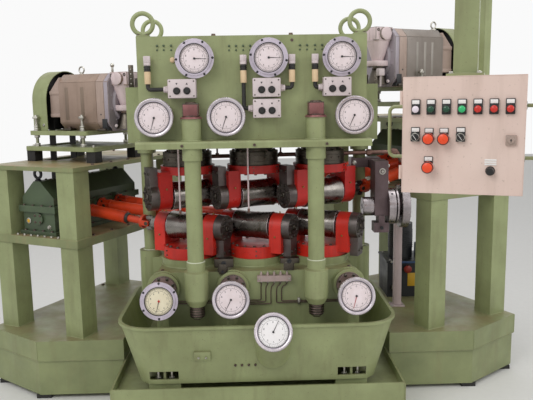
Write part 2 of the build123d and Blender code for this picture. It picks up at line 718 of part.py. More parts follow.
def slide_plate(size, z):
    # One plate of a motor slide with rounded corners, its underside at z.
    u0, u1, half = size
    plate = block(u0, u1, MOTOR_V - half, MOTOR_V + half, z, z + PLATE_T)
    return fillet(plate.edges().filter_by(Axis.Z), 18)


def motor_slide():
    # Two plates, the upper one lifted on tension screws under the motor.
    z = UPPER_TOP
    top = MOTOR_AXIS_Z - MOTOR_SIDE / 2
    shape = slide_plate(SLIDE_LOW, z + RUBBER_H) + slide_plate(SLIDE_HIGH, top - PLATE_T)
    shape = shape - notch(z, z + 400)
    for u in SLIDE_SCREW_U:
        for v in (MOTOR_V - SLIDE_SCREW_V, MOTOR_V + SLIDE_SCREW_V):
            shape = shape + disc(u, v, z + RUBBER_H, top + 52, 9)
    return shape


def slide_rubbers():
    # Rubber blocks between the table and the corners of the lower slide plate.
    parts = []
    half = RUBBER_SIDE / 2
    u0, u1, reach = SLIDE_LOW
    for u in (u0 + half + 1, u1 - half - 1):
        for v in (MOTOR_V - reach + half + 12, MOTOR_V + reach - half - 12):
            parts.append(block(u - half, u + half, v - half, v + half, UPPER_TOP, UPPER_TOP + RUBBER_H))
    return parts


def guard():
    # Arched belt guard, closed outside and open to the motor.
    z = MOTOR_AXIS_Z + GUARD_RISE
    low = MOTOR_AXIS_Z - MOTOR_SIDE / 2
    u0, u1 = BELT_U - GUARD_W / 2, BELT_U + GUARD_W / 2
    outer = rod_x(u0, u1, MOTOR_V, z, GUARD_R)
    outer = outer + block(u0, u1, MOTOR_V - GUARD_R, MOTOR_V + GUARD_R, low, z)
    inner = rod_x(u0 + 3, u1 + 1, MOTOR_V, z, GUARD_R - 3)
    inner = inner + block(u0 + 3, u1 + 1, MOTOR_V - GUARD_R + 3, MOTOR_V + GUARD_R - 3, low - 1, z)
    return outer - inner


def belt_drive():
    # Motor pulley, gearbox pulley and the belt around both, as one fixed loop.
    z0, z1 = MID_TOP + GEAR_IN, MOTOR_AXIS_Z
    big, small = 88, 80
    half = PULLEY_W / 2
    wheels = rod_x(BELT_U - half, BELT_U + half, MOTOR_V, z1, small)
    wheels = wheels + rod_x(BELT_U - half, BELT_U + half, MOTOR_V, z0, big)
    lean = math.asin((big - small) / (z1 - z0))
    c, s = math.cos(lean), math.sin(lean)

    def hull(grow):
        r0, r1 = big + grow, small + grow
        sides = Polygon((r0 * c, z0 + r0 * s), (r1 * c, z1 + r1 * s), (-r1 * c, z1 + r1 * s),
                        (-r0 * c, z0 + r0 * s), align=None)
        return Pos(0, z0) * Circle(r0) + Pos(0, z1) * Circle(r1) + sides

    ring = hull(8) - hull(0)
    band = Pos(BELT_U - BELT_W / 2, MOTOR_V, 0) * extrude(Plane.YZ * ring, BELT_W)
    shape = wheels + band - rod_x(BELT_U - 40, BELT_U + 40, MOTOR_V, z1, SHAFT_R + COL_FIT)
    return shape + rod_x(BELT_U - 34, GEAR_U0 + 18, MOTOR_V, z0, 20)


def exit_guide():
    # Outlet guide: bored hub with its discs, deep clamp bar, notched foot and arm.
    z = PASS_Z
    y = REAR_COL_Y
    x0, x1 = GUIDE_BAR
    middle = (x0 + x1) / 2
    shape = rod_x(HUB[0], HUB[1], 0, z, HUB[2])
    for start, end, r in GUIDE_DISCS:
        shape = shape + rod_x(start, end, 0, z, r)
    bar = block(x0, x1, -50, 85, z - 45, GUIDE_ARM_Z + 52)
    foot = block(x0 - 4, x1 + 4, -60, 20, z - 133, z - 81)
    foot = foot + block(middle - 16, middle + 16, -60, 20, z - 82, z - 44)
    arm = block(x0, x1, 80, y, GUIDE_ARM_Z, GUIDE_ARM_Z + 40)
    clamp = block(REAR_COL_X - 52, x1, y - 52, y + 48, GUIDE_ARM_Z, GUIDE_ARM_Z + 52)
    shape = shape + bar + foot + arm + clamp - rod_x(HUB[0] - 1, HUB[1] + 1, 0, z, BORE_R)
    return shape - disc(REAR_COL_X, y, z, z + 400, REAR_COL_R + COL_FIT)


def header_pipe():
    # Coolant header behind the columns with two drops to the upper rolls.
    y, z = 158, 1318
    main = tube([(-270, y, z), (800, y, z + 8), (824, y, z - 50)], 18, 11)
    for x in (-200, 150, 480):
        main = main + disc(x, y, z, HEAD_Z0, 5)
    drops = [disc(x, -149, 1056, HEAD_Z0, 4) for x in (-382, -32)]
    return Compound(children=[main] + drops)


def manifold():
    # Lubrication manifold block with its row of outlets on the bed front.
    shape = block(4, 176, BED_FRONT - 26, BED_FRONT, 714, 744)
    for i in range(5):
        x = 24 + 33 * i
        shape = shape + disc(x, BED_FRONT - 13, 740, 760, 6)
    return shape


def conduits():
    # Cable conduits from wall glands to the control boxes.
    parts = []
    y = HEAD_FRONT - BOX_D / 2
    left, mid, low, right = [box[0] for box in BOXES]
    routes = [(-498, left, 1680), (-44, low, 1585), (187, mid + BOX_W, 1680), (297, right, 1680)]
    for x, end, z in routes:
        sign = 1 if end > x else -1
        gland = disc(x, y, GLAND_Z, GLAND_Z + 118, 14) + rod_y(x, y, HEAD_FRONT, GLAND_Z + 100, 11)
        hose = tube([(x, y, GLAND_Z + 4), (x, y, z), (end - sign * 16, y, z)], 14, 9)
        nipple = rod_x(min(end, end - sign * 20), max(end, end - sign * 20), y, z, 13)
        parts.append(gland + hose + nipple)
    return Compound(children=parts)


def power_pack():
    # Small hydraulic unit on the right plinth: tank, motor, pump block and filter.
    x, y, z = 860, 640, PLINTH_TOP
    tank = block(x, x + 340, y, y + 260, z, z + 230)
    lid = block(x - 8, x + 348, y - 8, y + 268, z + 230, z + 242)
    drive = disc(x + 110, y + 130, z + 242, z + 470, 78)
    valves = block(x + 210, x + 320, y + 30, y + 150, z + 242, z + 330)
    filt = disc(x + 270, y + 205, z + 242, z + 400, 34)
    hollow = block(x + 6, x + 334, y + 6, y + 254, z + 6, z + 224)
    return tank + lid + drive + valves + filt - hollow


def cabinet_place(shape):
    # Cabinet frame: local X along the door, Y into the box, origin at the door centre.
    return Pos(CAB_X, CAB_Y, CAB_Z) * Rot(0, 0, CAB_TURN) * shape


def cabinet_handles():
    # Bent round bars on both sides of the cabinet.
    bars = []
    y = CAB_D / 2
    for side in (-1, 1):
        x0, x1 = side * CAB_SIDE / 2, side * (CAB_SIDE / 2 + 62)
        bars.append(tube([(x0, y, 98), (x1, y, 98), (x1, y, -82), (x0, y, -82)], 20, 6.5))
    return cabinet_place(Compound(children=bars))


def cabinet_box():
    # Sheet steel cabinet body, open in front, with its mounting plate.
    h = CAB_SIDE / 2
    t = CAB_SHEET
    outer = block(-h, h, DOOR_T, CAB_D, -h, h)
    inner = block(-h + t, h - t, DOOR_T - 1, CAB_D - t, -h + t, h - t)
    plate = block(-h + 30, h - 30, CAB_D - 20, CAB_D - 17, -h + 30, h - 30)
    studs = [rod_y(x, CAB_D - 18, CAB_D, z, 5) for x in (-150, 150) for z in (-150, 150)]
    shape = outer - inner + plate
    for stud in studs:
        shape = shape + stud
    for z in HINGE_Z:
        leaf = block(HINGE_X - 4, -h - 1.5, HINGE_Y, DOOR_T + 24, z - HINGE_H, z)
        leaf = leaf + block(HINGE_X - 4, -h, DOOR_T, DOOR_T + 24, z - HINGE_H, z)
        shape = shape + leaf + disc(HINGE_X, HINGE_Y, z - HINGE_H, z, HINGE_R)
        shape = shape + disc(HINGE_X, HINGE_Y, z - 1, z + HINGE_H - 4, PIN_R)
    return cabinet_place(shape)


def cabinet_door():
    # Folded sheet door, hinged on its left edge.
    h = CAB_SIDE / 2
    t = CAB_SHEET
    shape = block(-h, h, -2, DOOR_T - 1, -h, h) - block(-h + t, h - t, 0, DOOR_T, -h + t, h - t)
    for z in HINGE_Z:
        knuckle = disc(HINGE_X, HINGE_Y, z, z + HINGE_H, HINGE_R)
        knuckle = knuckle + block(HINGE_X, -h + 1, HINGE_Y - 4, HINGE_Y + 4, z, z + HINGE_H)
        bore = disc(HINGE_X, HINGE_Y, z - 1, z + HINGE_H - 3, PIN_R + JOURNAL_FIT)
        shape = shape + knuckle - bore
    return cabinet_place(shape)


def door_devices():
    # Lamps, mushroom buttons, selector switches, lock plate and knob on the door.
    face = -CAB_SHEET
    parts = [rod_y(x, -16, face, LAMP_Z, 14) for x in LAMP_X]
    for x, z in MUSHROOMS:
        parts.append(rod_y(x, -22, face, z, 11) + rod_y(x, -38, -22, z, 20))
    for x in SELECTOR_X:
        parts.append(block(x - 13, x + 13, -14, face, -18, 8))
    parts.append(block(LOCK_X - 16, LOCK_X + 16, -10, face, -30, 2))
    parts.append(rod_y(KNOB[0], -24, face, KNOB[1], 12))
    return cabinet_place(Compound(children=parts))


def cabinet_arm():
    # Drop tube on the cabinet, boom above and mast on the right upper table.
    half = DROP_SIDE / 2
    y = CAB_D / 2
    drop = block(-half, half, y - half, y + half, CAB_SIDE / 2, BOOM_Z + MAST_SIDE - CAB_Z)
    drop_bore = block(-half + TUBE_T, half - TUBE_T, y - half + TUBE_T, y + half - TUBE_T,
                      CAB_SIDE / 2 + 10, BOOM_Z + MAST_SIDE - TUBE_T - CAB_Z)
    foot = block(-62, 62, y - 62, y + 62, CAB_SIDE / 2, CAB_SIDE / 2 + 10)
    wide = MAST_SIDE / 2
    x0, y0, _ = stand_place(MAST_U, MAST_V, 0)
    z0 = UPPER_TOP + RIGHT_RISE
    bore = wide - TUBE_T
    mast = block(-wide, wide, -wide, wide, z0, BOOM_Z + MAST_SIDE)
    mast_bore = block(-bore, bore, -bore, bore, z0 + TUBE_T, BOOM_Z + MAST_SIDE - TUBE_T)
    flange = block(-wide - 40, wide + 40, -wide - 20, wide + 20, z0, z0 + TUBE_T)
    stand_turn = Pos(-x0, y0, 0) * Rot(0, 0, STAND_ANGLE)
    turn = math.radians(CAB_TURN)
    dx = CAB_X - y * math.sin(turn) + x0
    dy = CAB_Y + y * math.cos(turn) - y0
    reach = math.hypot(dx, dy)
    boom = block(0, reach, -wide, wide, BOOM_Z, BOOM_Z + MAST_SIDE)
    boom_bore = block(0, reach, -bore, bore, BOOM_Z + TUBE_T, BOOM_Z + MAST_SIDE - TUBE_T)
    boom_turn = Pos(-x0, y0, 0) * Rot(0, 0, math.degrees(math.atan2(dy, dx)))
    solid = cabinet_place(drop + foot) + boom_turn * boom + stand_turn * (mast + flange)
    return solid - cabinet_place(drop_bore) - boom_turn * boom_bore - stand_turn * mast_bore


def export(name, shape):
    # Writes one node of the machine.
    export_step(shape, "parts/" + name + ".step")


def write_rolls():
    # Rolls, yokes, caps and cardan shafts, lower and upper.
    caps = []
    for upper in (False, True):
        row = "upper" if upper else "lower"
        yokes = []
        for i, name in enumerate(NAMES):
            place = roll_frame(i, upper)
            yokes.append(place * yoke(UPPER_PLATE_T if upper else YOKE_PLATE_T))
            export("roll_" + row + "_" + name, place * roll())
            export("cardan_" + row + "_" + name, cardan_frame(i, upper) * cardan(i, upper))
            caps.append(place * near_cap())
            caps.append(place * far_cap())
        export(row + "_yokes", Compound(children=yokes))
    export("bearing_caps", Compound(children=caps))


def write_frame():
    # Crosshead, columns, bed, trays and what is bolted to them.
    export("drip_tray", drip_tray())
    export("oil_tray", oil_tray())
    export("bed", bed())
    export("crosshead", crosshead())
    export("columns", columns())
    export("column_nuts", column_nuts())
    export("worm_caps", worm_caps())
    export("dial_mounts", dial_mounts())
    export("lift_screws", lift_screws())
    export("lifting_eyes", lifting_eyes())
    export("button_boxes", button_boxes())
    export("conduits", conduits())
    export("header_pipe", header_pipe())
    export("manifold", manifold())
    export("exit_guide", exit_guide())


def write_dials():
    # Cases of all ten dials.
    cases = []
    kinds = [(d, "flange") for d in TOP_DIALS + BASE_DIALS[:1]]
    kinds += [(d, "bezel") for d in LOW_DIALS + BASE_DIALS[1:] + [TRAY_DIAL]]
    for dial, kind in kinds:
        cases.append(dial_place(dial) * dial_case(kind))
    export("dial_cases", Compound(children=cases))


def both(pieces, rise=RIGHT_RISE):
    # Stand pieces on the left and their raised mirror images on the right.
    left = [left_side(piece) for piece in pieces]
    right = [right_side(piece, rise) for piece in pieces]
    return Compound(children=left + right)


def pair(left_pieces, right_pieces):
    # Pieces that differ between the two stands, both drawn in the stand frame.
    left = [left_side(piece) for piece in left_pieces]
    right = [right_side(piece) for piece in right_pieces]
    return Compound(children=left + right)


def write_stands():
    # Plinths, stands, gearboxes, motors and belt drives.
    export("plinths", Compound(children=[plinth(False), plinth(True)]))
    export("plinth_feet", plinth_feet())
    export("stand_legs", pair(stand_legs(0), stand_legs(RIGHT_RISE)))
    export("stand_tables", pair(stand_tables(0), stand_tables(RIGHT_RISE)))
    export("gearboxes", Compound(children=[gearbox(False), gearbox(True)]))
    export("motors", both([motor()]))
    export("motor_slides", both([motor_slide()]))
    export("slide_rubbers", both(slide_rubbers()))
    export("belt_guards", both([guard()]))
    export("belt_drives", both([belt_drive()]))
    export("power_pack", power_pack())


def write_cabinet():
    # Control cabinet on its arm, with the door closed.
    export("cabinet_box", cabinet_box())
    export("cabinet_door", cabinet_door())
    export("door_devices", door_devices())
    export("cabinet_handles", cabinet_handles())
    export("cabinet_arm", cabinet_arm())


def main():
    os.makedirs("parts", exist_ok=True)
    write_rolls()
    write_frame()
    write_dials()
    write_stands()
    write_cabinet()


if __name__ == "__main__":
    main()
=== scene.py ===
"""Looks of a six-roll pipe straightening machine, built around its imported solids."""
import logging
import math
from collections.abc import Iterable, Sequence
from dataclasses import dataclass, field
from enum import Enum
from itertools import product

import bmesh
import bpy
from mathutils import Matrix, Vector


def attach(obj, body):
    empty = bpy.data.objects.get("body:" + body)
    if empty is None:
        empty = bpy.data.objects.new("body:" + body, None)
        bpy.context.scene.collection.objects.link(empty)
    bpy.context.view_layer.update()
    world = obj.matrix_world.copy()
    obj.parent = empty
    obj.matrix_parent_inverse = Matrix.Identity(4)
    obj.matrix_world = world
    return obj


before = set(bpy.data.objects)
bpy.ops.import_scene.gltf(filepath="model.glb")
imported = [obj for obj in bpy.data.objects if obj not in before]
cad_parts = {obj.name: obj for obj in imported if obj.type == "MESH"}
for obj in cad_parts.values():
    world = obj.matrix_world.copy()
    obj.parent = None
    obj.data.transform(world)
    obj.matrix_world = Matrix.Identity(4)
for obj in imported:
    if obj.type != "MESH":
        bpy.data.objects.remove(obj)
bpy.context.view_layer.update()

LOG = logging.getLogger("straightener")
MM = 0.001
MACHINE = "machine"
DOOR = "door"
Point = Sequence[float]
Socket = bpy.types.NodeSocket


# Colours and nodes


def linear(code: str) -> tuple[float, float, float, float]:
    """Turns an sRGB hex colour, such as "8A9A6C", into linear red, green, blue and an alpha of 1."""
    values = [int(code[i:i + 2], 16) / 255 for i in (0, 2, 4)]
    bent = [v / 12.92 if v <= 0.04045 else ((v + 0.055) / 1.055) ** 2.4 for v in values]
    return (bent[0], bent[1], bent[2], 1.0)


def add_node(tree: bpy.types.NodeTree, kind: str, inputs: dict | None = None, **settings) -> bpy.types.Node:
    """Adds a node, sets its properties and fills or links its inputs.

    Args:
        tree: the node tree.
        kind: the node's type name.
        inputs: input name or number to a value, or to an output socket to link.
        **settings: properties of the node.

    Returns:
        The new node.
    """
    node = tree.nodes.new(kind)
    for name, value in settings.items():
        setattr(node, name, value)
    for key, value in (inputs or {}).items():
        if isinstance(value, bpy.types.NodeSocket):
            tree.links.new(value, node.inputs[key])
        else:
            node.inputs[key].default_value = value
    return node


# Sockets of the Mix node when it mixes colours
MIX_A, MIX_B, MIX_OUT = 6, 7, 2


class Pattern:
    """A material's node tree with the few patterns that the machine's finishes share."""

    def __init__(self, name: str) -> None:
        """Starts an empty material."""
        self.material = bpy.data.materials.new(name)
        self.material.use_nodes = True
        self.tree = self.material.node_tree
        self.tree.nodes.clear()
        self.place = add_node(self.tree, "ShaderNodeTexCoord").outputs["Object"]
        self.shape = add_node(self.tree, "ShaderNodeNewGeometry")

    def noise(self, size_mm: float, stretch: Point = (1, 1, 1), detail: float = 3.0) -> Socket:
        """Makes a cloud pattern.

        Args:
            size_mm: size of one cloud on the real surface.
            stretch: how many times smaller it is along each axis.
            detail: how many finer layers it holds.

        Returns:
            The pattern's value socket, from 0 to 1.
        """
        scaled = add_node(self.tree, "ShaderNodeMapping", {"Vector": self.place, "Scale": tuple(stretch)})
        node = add_node(self.tree, "ShaderNodeTexNoise",
                        {"Vector": scaled.outputs[0], "Scale": 1 / (size_mm * MM), "Detail": detail, "Roughness": 0.6})
        return node.outputs[0]

    def window(self, value: Socket, low: float, high: float, floor: float = 0.0, top: float = 1.0) -> Socket:
        """Maps low to high of a value onto floor to top, held at both ends."""
        node = add_node(self.tree, "ShaderNodeMapRange", {0: value, 1: low, 2: high, 3: floor, 4: top}, clamp=True)
        return node.outputs[0]

    def times(self, a: Socket, b: Socket | float) -> Socket:
        """Multiplies two values."""
        return add_node(self.tree, "ShaderNodeMath", {0: a, 1: b}, operation="MULTIPLY").outputs[0]

    def mix(self, share: Socket | float, a: object, b: object) -> Socket:
        """Mixes colour a towards colour b by share."""
        node = add_node(self.tree, "ShaderNodeMix", {0: share, MIX_A: a, MIX_B: b}, data_type="RGBA")
        return node.outputs[MIX_OUT]

    def right_half(self) -> Socket:
        """Gives 1 on the machine's right half and 0 on the left."""
        parts = add_node(self.tree, "ShaderNodeSeparateXYZ", {0: self.place})
        return self.window(parts.outputs[0], -0.01, 0.01)

    def facing_up(self) -> Socket:
        """Gives 1 on faces that look up, where dust and oil settle."""
        parts = add_node(self.tree, "ShaderNodeSeparateXYZ", {0: self.shape.outputs["Normal"]})
        return self.window(parts.outputs[2], 0.55, 0.9)

    def edges(self, radius_mm: float) -> tuple[Socket, Socket]:
        """Finds the worn outer edges: a mask of them, and the normal rounded over radius_mm."""
        soft = add_node(self.tree, "ShaderNodeBevel", {"Radius": radius_mm * MM}, samples=4)
        meet = add_node(self.tree, "ShaderNodeVectorMath",
                        {0: soft.outputs[0], 1: self.shape.outputs["True Normal"]}, operation="DOT_PRODUCT")
        return self.window(meet.outputs["Value"], 0.97, 0.80), soft.outputs[0]

    def bump(self, height: Socket, depth_mm: float, normal: Socket, strength: float) -> Socket:
        """Raises the surface by a pattern of a real depth."""
        inputs = {"Height": height, "Distance": depth_mm * MM, "Strength": strength, "Normal": normal}
        return add_node(self.tree, "ShaderNodeBump", inputs).outputs[0]

    def finish(self, inputs: dict) -> bpy.types.Material:
        """Ends the tree in one shader with these inputs and returns the material."""
        shader = add_node(self.tree, "ShaderNodeBsdfPrincipled", inputs)
        add_node(self.tree, "ShaderNodeOutputMaterial", {0: shader.outputs[0]})
        return self.material


MADE: dict[str, bpy.types.Material] = {}


@dataclass(frozen=True)
class Finish:
    """What a surface is painted with or made of; each kind gives its own shader inputs."""

    name: str
    colour: str

    def inputs(self, p: Pattern) -> dict:
        """Draws the finish's patterns and gives the shader's inputs."""
        raise NotImplementedError

    def material(self) -> bpy.types.Material:
        """Builds the material once and returns it."""
        if self.name not in MADE:
            pattern = Pattern(self.name)
            MADE[self.name] = pattern.finish(self.inputs(pattern))
        return MADE[self.name]


@dataclass(frozen=True)
class Enamel(Finish):
    """Brushed or sprayed machine enamel over filler: half-gloss, uneven, oily on top, chipped at the edges.

    The eye sees soft cloudy shade changes, runs that hang down, darker grime on upward faces and thin worn edges.
    """

    shade: str
    grime: str
    chip: str
    gloss: float = 0.42
    grime_share: float = 0.55
    cloud_mm: float = 260.0
    run_mm: float = 55.0
    peel_mm: float = 5.0
    wear: float = 0.5
    right: str = ""

    def inputs(self, p: Pattern) -> dict:
        """Draws clouds, runs, dust, specks, chips and brush marks, with its own colour on the machine's right."""
        clouds = p.window(p.noise(self.cloud_mm, detail=4), 0.35, 0.70)
        tone = p.mix(clouds, linear(self.colour), linear(self.shade))
        if self.right:
            tone = p.mix(p.right_half(), tone, linear(self.right))
        runs = p.times(p.window(p.noise(self.run_mm, (1, 1, 0.12), 4), 0.52, 0.78), 0.35)
        tone = p.mix(runs, tone, linear(self.grime))
        dust = p.times(p.facing_up(), p.window(p.noise(120, detail=5), 0.25, 0.62))
        tone = p.mix(p.times(dust, self.grime_share), tone, linear(self.grime))
        specks = p.times(p.window(p.noise(9, detail=2), 0.66, 0.74), 0.5)
        tone = p.mix(specks, tone, linear(self.grime))
        edge, soft = p.edges(2.5)
        chipped = p.times(p.times(edge, p.window(p.noise(26, detail=3), 0.45, 0.62)), self.wear)
        tone = p.mix(chipped, tone, linear(self.chip))
        rough = p.window(p.noise(90, detail=4), 0.3, 0.7, self.gloss - 0.08, self.gloss + 0.16)
        peel = p.bump(p.noise(self.peel_mm, detail=2), 0.25, soft, 0.35)
        brush = p.bump(p.noise(38, (1, 1, 0.35), 2), 0.6, peel, 0.25)
        return {"Base Color": tone, "Roughness": rough, "Normal": brush}


# The colour that a worn metal edge shows
WORN_EDGE = "D5D2CC"


@dataclass(frozen=True)
class BareMetal(Finish):
    """Turned, ground or worn metal with an oil film: fine lines along one axis, cloudy gloss, dark oil specks."""

    oil: str
    roughness: float = 0.3
    line_mm: float = 1.6
    lines: tuple[float, float, float] = (1.0, 1.0, 1.0)
    speck_share: float = 0.3
    metallic: float = 1.0
    cloud_mm: float = 70.0
    depth_mm: float = 0.06

    def inputs(self, p: Pattern) -> dict:
        """Draws the oil film, its specks, the tool's lines and the bright edges."""
        film = p.window(p.noise(self.cloud_mm, detail=5), 0.38, 0.68)
        tone = p.mix(p.times(film, 0.5), linear(self.colour), linear(self.oil))
        specks = p.times(p.window(p.noise(7, detail=3), 0.60, 0.70), self.speck_share)
        tone = p.mix(specks, tone, linear(self.oil))
        lines = p.noise(self.line_mm, self.lines, 1)
        edge, soft = p.edges(1.2)
        tone = p.mix(p.times(edge, 0.35), tone, linear(WORN_EDGE))
        rough = p.window(p.noise(self.cloud_mm * 0.6, detail=4), 0.3, 0.75, self.roughness - 0.08, self.roughness + 0.2)
        normal = p.bump(lines, self.depth_mm, soft, 0.5)
        return {"Base Color": tone, "Metallic": self.metallic, "Roughness": rough, "Normal": normal}


@dataclass(frozen=True)
class Moulded(Finish):
    """Moulded plastic or rubber: even colour with a fine grain, slight scuffs and a film of dust."""

    dust: str
    roughness: float = 0.4
    grain_mm: float = 1.5
    dust_share: float = 0.25
    grain_depth: float = 0.05
    glow: float = 0.0

    def inputs(self, p: Pattern) -> dict:
        """Draws the dust, the scuffed edges and the grain."""
        film = p.times(p.window(p.noise(45, detail=4), 0.35, 0.7), self.dust_share)
        tone = p.mix(film, linear(self.colour), linear(self.dust))
        rough = p.window(p.noise(30, detail=3), 0.3, 0.7, self.roughness - 0.06, self.roughness + 0.12)
        edge, soft = p.edges(0.8)
        tone = p.mix(p.times(edge, 0.2), tone, linear(self.dust))
        grain = p.bump(p.noise(self.grain_mm, detail=1), self.grain_depth, soft, 0.4)
        inputs = {"Base Color": tone, "Roughness": rough, "Normal": grain}
        if self.glow:
            inputs.update({"Emission Color": linear(self.colour), "Emission Strength": self.glow})
        return inputs


# Finishes of the machine


# Brushed green enamel over filled steel: soft blotches, brown runs of old oil
SAGE = Enamel("sage_green_enamel", "98A072", "848A60", "645A3C", "A9A58C", grime_share=0.45)
# The same paint on the plinths, dirtier on top from walking and dripping oil
PLINTH_GREEN = Enamel("plinth_green_enamel", "8F966A", "7A815A", "7E7250", "9A9680", grime_share=0.8, wear=0.7)
# Table plates lie flat and are nearly covered with brown oil dust
TABLE_GREEN = Enamel("table_green_enamel", "8A9064", "747A54", "94795A", "9A9680", grime_share=0.85, wear=0.6)
# Cast housings carry a bluer and darker hammer enamel
GEAR_GREEN = Enamel("dark_green_casting_enamel", "4E5E42", "3E4A36", "2E2E22", "8C9384", gloss=0.36, peel_mm=9)
# Signal red brushed on the cast yokes, bright where the light falls
YOKE_RED = Enamel("yoke_red_enamel", "DC2A18", "BC2012", "4A1710", "8A5A4C", gloss=0.38, peel_mm=8, grime_share=0.5)
# The upper yokes hang in shade and oil, so the same red is given deeper here: painted shade, with real oil
YOKE_RED_SHADED = Enamel("shaded_oily_yoke_red_enamel", "C42018", "9C140E", "3A120D", "7C5448", gloss=0.34, peel_mm=8)
# Orange-red enamel sprayed on the cardan shafts
SHAFT_ORANGE = Enamel("shaft_orange_enamel", "E2491F", "C43A18", "5A2312", "A98A78", gloss=0.34, grime_share=0.45)
# Powder coat on the control cabinet, a warm light beige
CABINET_BEIGE = Enamel("cabinet_beige_powder", "E2CABE", "DAC0B4", "AC9585", "BDB3AA", gloss=0.5, peel_mm=2,
                       grime_share=0.25, wear=0.2)
# Left motor in warm grey enamel, right one cooler
MOTOR_WARM = Enamel("warm_grey_motor_enamel", "9C8576", "8A7466", "5B4A3A", "B9AEA4", gloss=0.40, right="8A8078")
MOTOR_COOL = Enamel("cool_grey_motor_enamel", "8E847C", "7A7068", "504A42", "B4AEA8", gloss=0.40)
# The motors' ends, bands and blowers differ in age and shade
MOTOR_TAN = Enamel("pale_tan_motor_enamel", "AC968A", "9C877C", "5B4E44", "C0B6AE", gloss=0.40)
MOTOR_END = Enamel("lilac_grey_motor_enamel", "A59CA4", "94898F", "5B4E46", "BDB6B8", gloss=0.40)
BAND_WARM = Enamel("dark_warm_band_enamel", "83705F", "78665A", "4E4034", "9A8E80", gloss=0.42, wear=0.1)
BAND_PALE = Enamel("pale_band_enamel", "A29C94", "989088", "5E5850", "B4B0AA", gloss=0.42, wear=0.1)
KERB_GREEN = Enamel("kerb_dark_green_enamel", "54644A", "445439", "3A3524", "7E8470", gloss=0.44)
# Mould-pressed aluminium boxes sprayed light grey
BOX_GREY = Enamel("box_light_grey_enamel", "D6C8C8", "C8BABA", "8C8074", "DED8D6", gloss=0.44, peel_mm=2,
                  grime_share=0.3, wear=0.25)
# Ground and polished roll steel with an oil film: dark mirror with fine lines round the axis
ROLL_STEEL = BareMetal("polished_roll_steel", "8A8580", "4E4842", 0.24, 1.2, (0.15, 0.15, 1.0), speck_share=0.08,
                       depth_mm=0.03)
# Bright turned ends of the rolls
RIM_STEEL = BareMetal("bright_turned_steel", "D8D0D4", "9A9294", 0.22, 0.8, speck_share=0.1)
# Machined steel that stays oily and nearly black
OILY_STEEL = BareMetal("oily_dark_steel", "5A544C", "26211C", 0.34, 2.0, speck_share=0.5)
# Bolts and plates with a brown film of oil and light rust
BROWN_STEEL = BareMetal("brown_oiled_steel", "6A5850", "352A26", 0.42, 2.4, speck_share=0.5, metallic=0.8)
# Bearing caps are machined all over and a little paler than what holds them
CAP_STEEL = BareMetal("grey_machined_caps", "6E6664", "3A3432", 0.36, 2.0, speck_share=0.35, metallic=0.85)
# The worm covers carry a purplish phosphate under oil
WORM_GREY = BareMetal("phosphated_covers", "9A8280", "64504E", 0.42, 1.8, speck_share=0.3, metallic=0.6)
# Upper column nuts have a dry purple-brown rust film
NUT_BROWN = BareMetal("rust_filmed_nuts", "8A5C5A", "5A3636", 0.44, 2.4, speck_share=0.4, metallic=0.6)
# Thin coolant pipe with a dry brown film
PIPE_BROWN = BareMetal("brown_filmed_pipe", "8A6A60", "5A423A", 0.44, 2.0, speck_share=0.35, metallic=0.6)
# Zinc-plated small screws
ZINC = BareMetal("zinc_plated_steel", "BDBAB2", "7A756A", 0.32, 1.0, speck_share=0.3)
# Cast and turned aluminium of the dial cases, satin
SATIN = BareMetal("satin_aluminium", "C8BECA", "8F878E", 0.30, 1.4, (0.3, 1.0, 0.3), speck_share=0.2)
# Outlet guide: the bar stays brown with oil, its ring pieces are newly turned
GUIDE_DARK = BareMetal("oiled_guide_steel", "6A5A5C", "3A3030", 0.40, 2.0, speck_share=0.4, metallic=0.75)
GUIDE_BRIGHT = BareMetal("satin_turned_rings", "A8A0A2", "6E6668", 0.24, 0.9, (0.15, 1.0, 1.0), speck_share=0.2)
BRASS = BareMetal("tarnished_brass", "A98A4E", "5F4A26", 0.36, 1.4, speck_share=0.4)
# Diecast manifold with a thin dull lacquer
MANIFOLD_GREY = Enamel("manifold_lacquer", "B39E98", "9C8882", "5E5048", "C8BCB4", gloss=0.44, wear=0.2)
PALE_METAL = Enamel("pale_duct_paint", "DCC8C8", "CCB8BA", "8C7C78", "E4DCDA", gloss=0.46, wear=0.2)
RUBBER = Moulded("black_rubber", "1C1B1A", "3C3832", 0.62)
BLACK_PLASTIC = Moulded("black_abs", "161616", "383430", 0.34)
CREAM_SLEEVE = Moulded("cream_pvc_sleeve", "DCC09A", "A88E66", 0.5)
HOSE_BLACK = Moulded("black_pvc_hose", "1F1E1D", "46403A", 0.46, dust_share=0.35)
# Pale bead at the column sockets: its pale colour is a painted highlight of the bright line there
PALE_JOINT_HIGHLIGHT = Moulded("pale_joint_painted_highlight", "CDD2B8", "A8A88A", 0.5)
# Printed aluminium dial plates under a thin haze of oil
DIAL_WHITE = Moulded("printed_dial_white", "EBDDDF", "CDB9B4", 0.42, dust_share=0.35)
DIAL_CREAM = Moulded("printed_dial_cream", "E6DCC0", "C2B490", 0.42, dust_share=0.35)
# The tray dial leans back towards the light: its face is a lighter copy of the white, a painted highlight
DIAL_WHITE_LIT = Moulded("printed_dial_painted_highlight", "F3EFEE", "D8CFCB", 0.4, dust_share=0.2)
PRINT_BLACK = Moulded("black_print", "2E2A2B", "4A4444", 0.5)
PRINT_RED = Moulded("red_print", "B3261C", "8C2018", 0.45)
LABEL_WHITE = Moulded("blank_label_white", "F1ECE8", "D6CEC6", 0.45, dust_share=0.2)
LAMP_WHITE = Moulded("lamp_white_lens", "E2D6DE", "C8BCC4", 0.22, glow=0.05)
LAMP_DARK_GREEN = Moulded("lamp_dark_green_lens", "1E4A34", "16382A", 0.18)
LAMP_GREEN = Moulded("lamp_lit_green_lens", "2BA866", "1F8450", 0.2, glow=0.22)
LAMP_RED = Moulded("lamp_red_lens", "C22A1E", "98221A", 0.2, glow=0.12)
MUSHROOM_RED = Moulded("mushroom_red_plastic", "EC4A1C", "B83A18", 0.28, dust_share=0.1)
PACK_RED = Enamel("pack_red_enamel", "A33224", "86281D", "3C1C14", "8A5A4C", gloss=0.4)
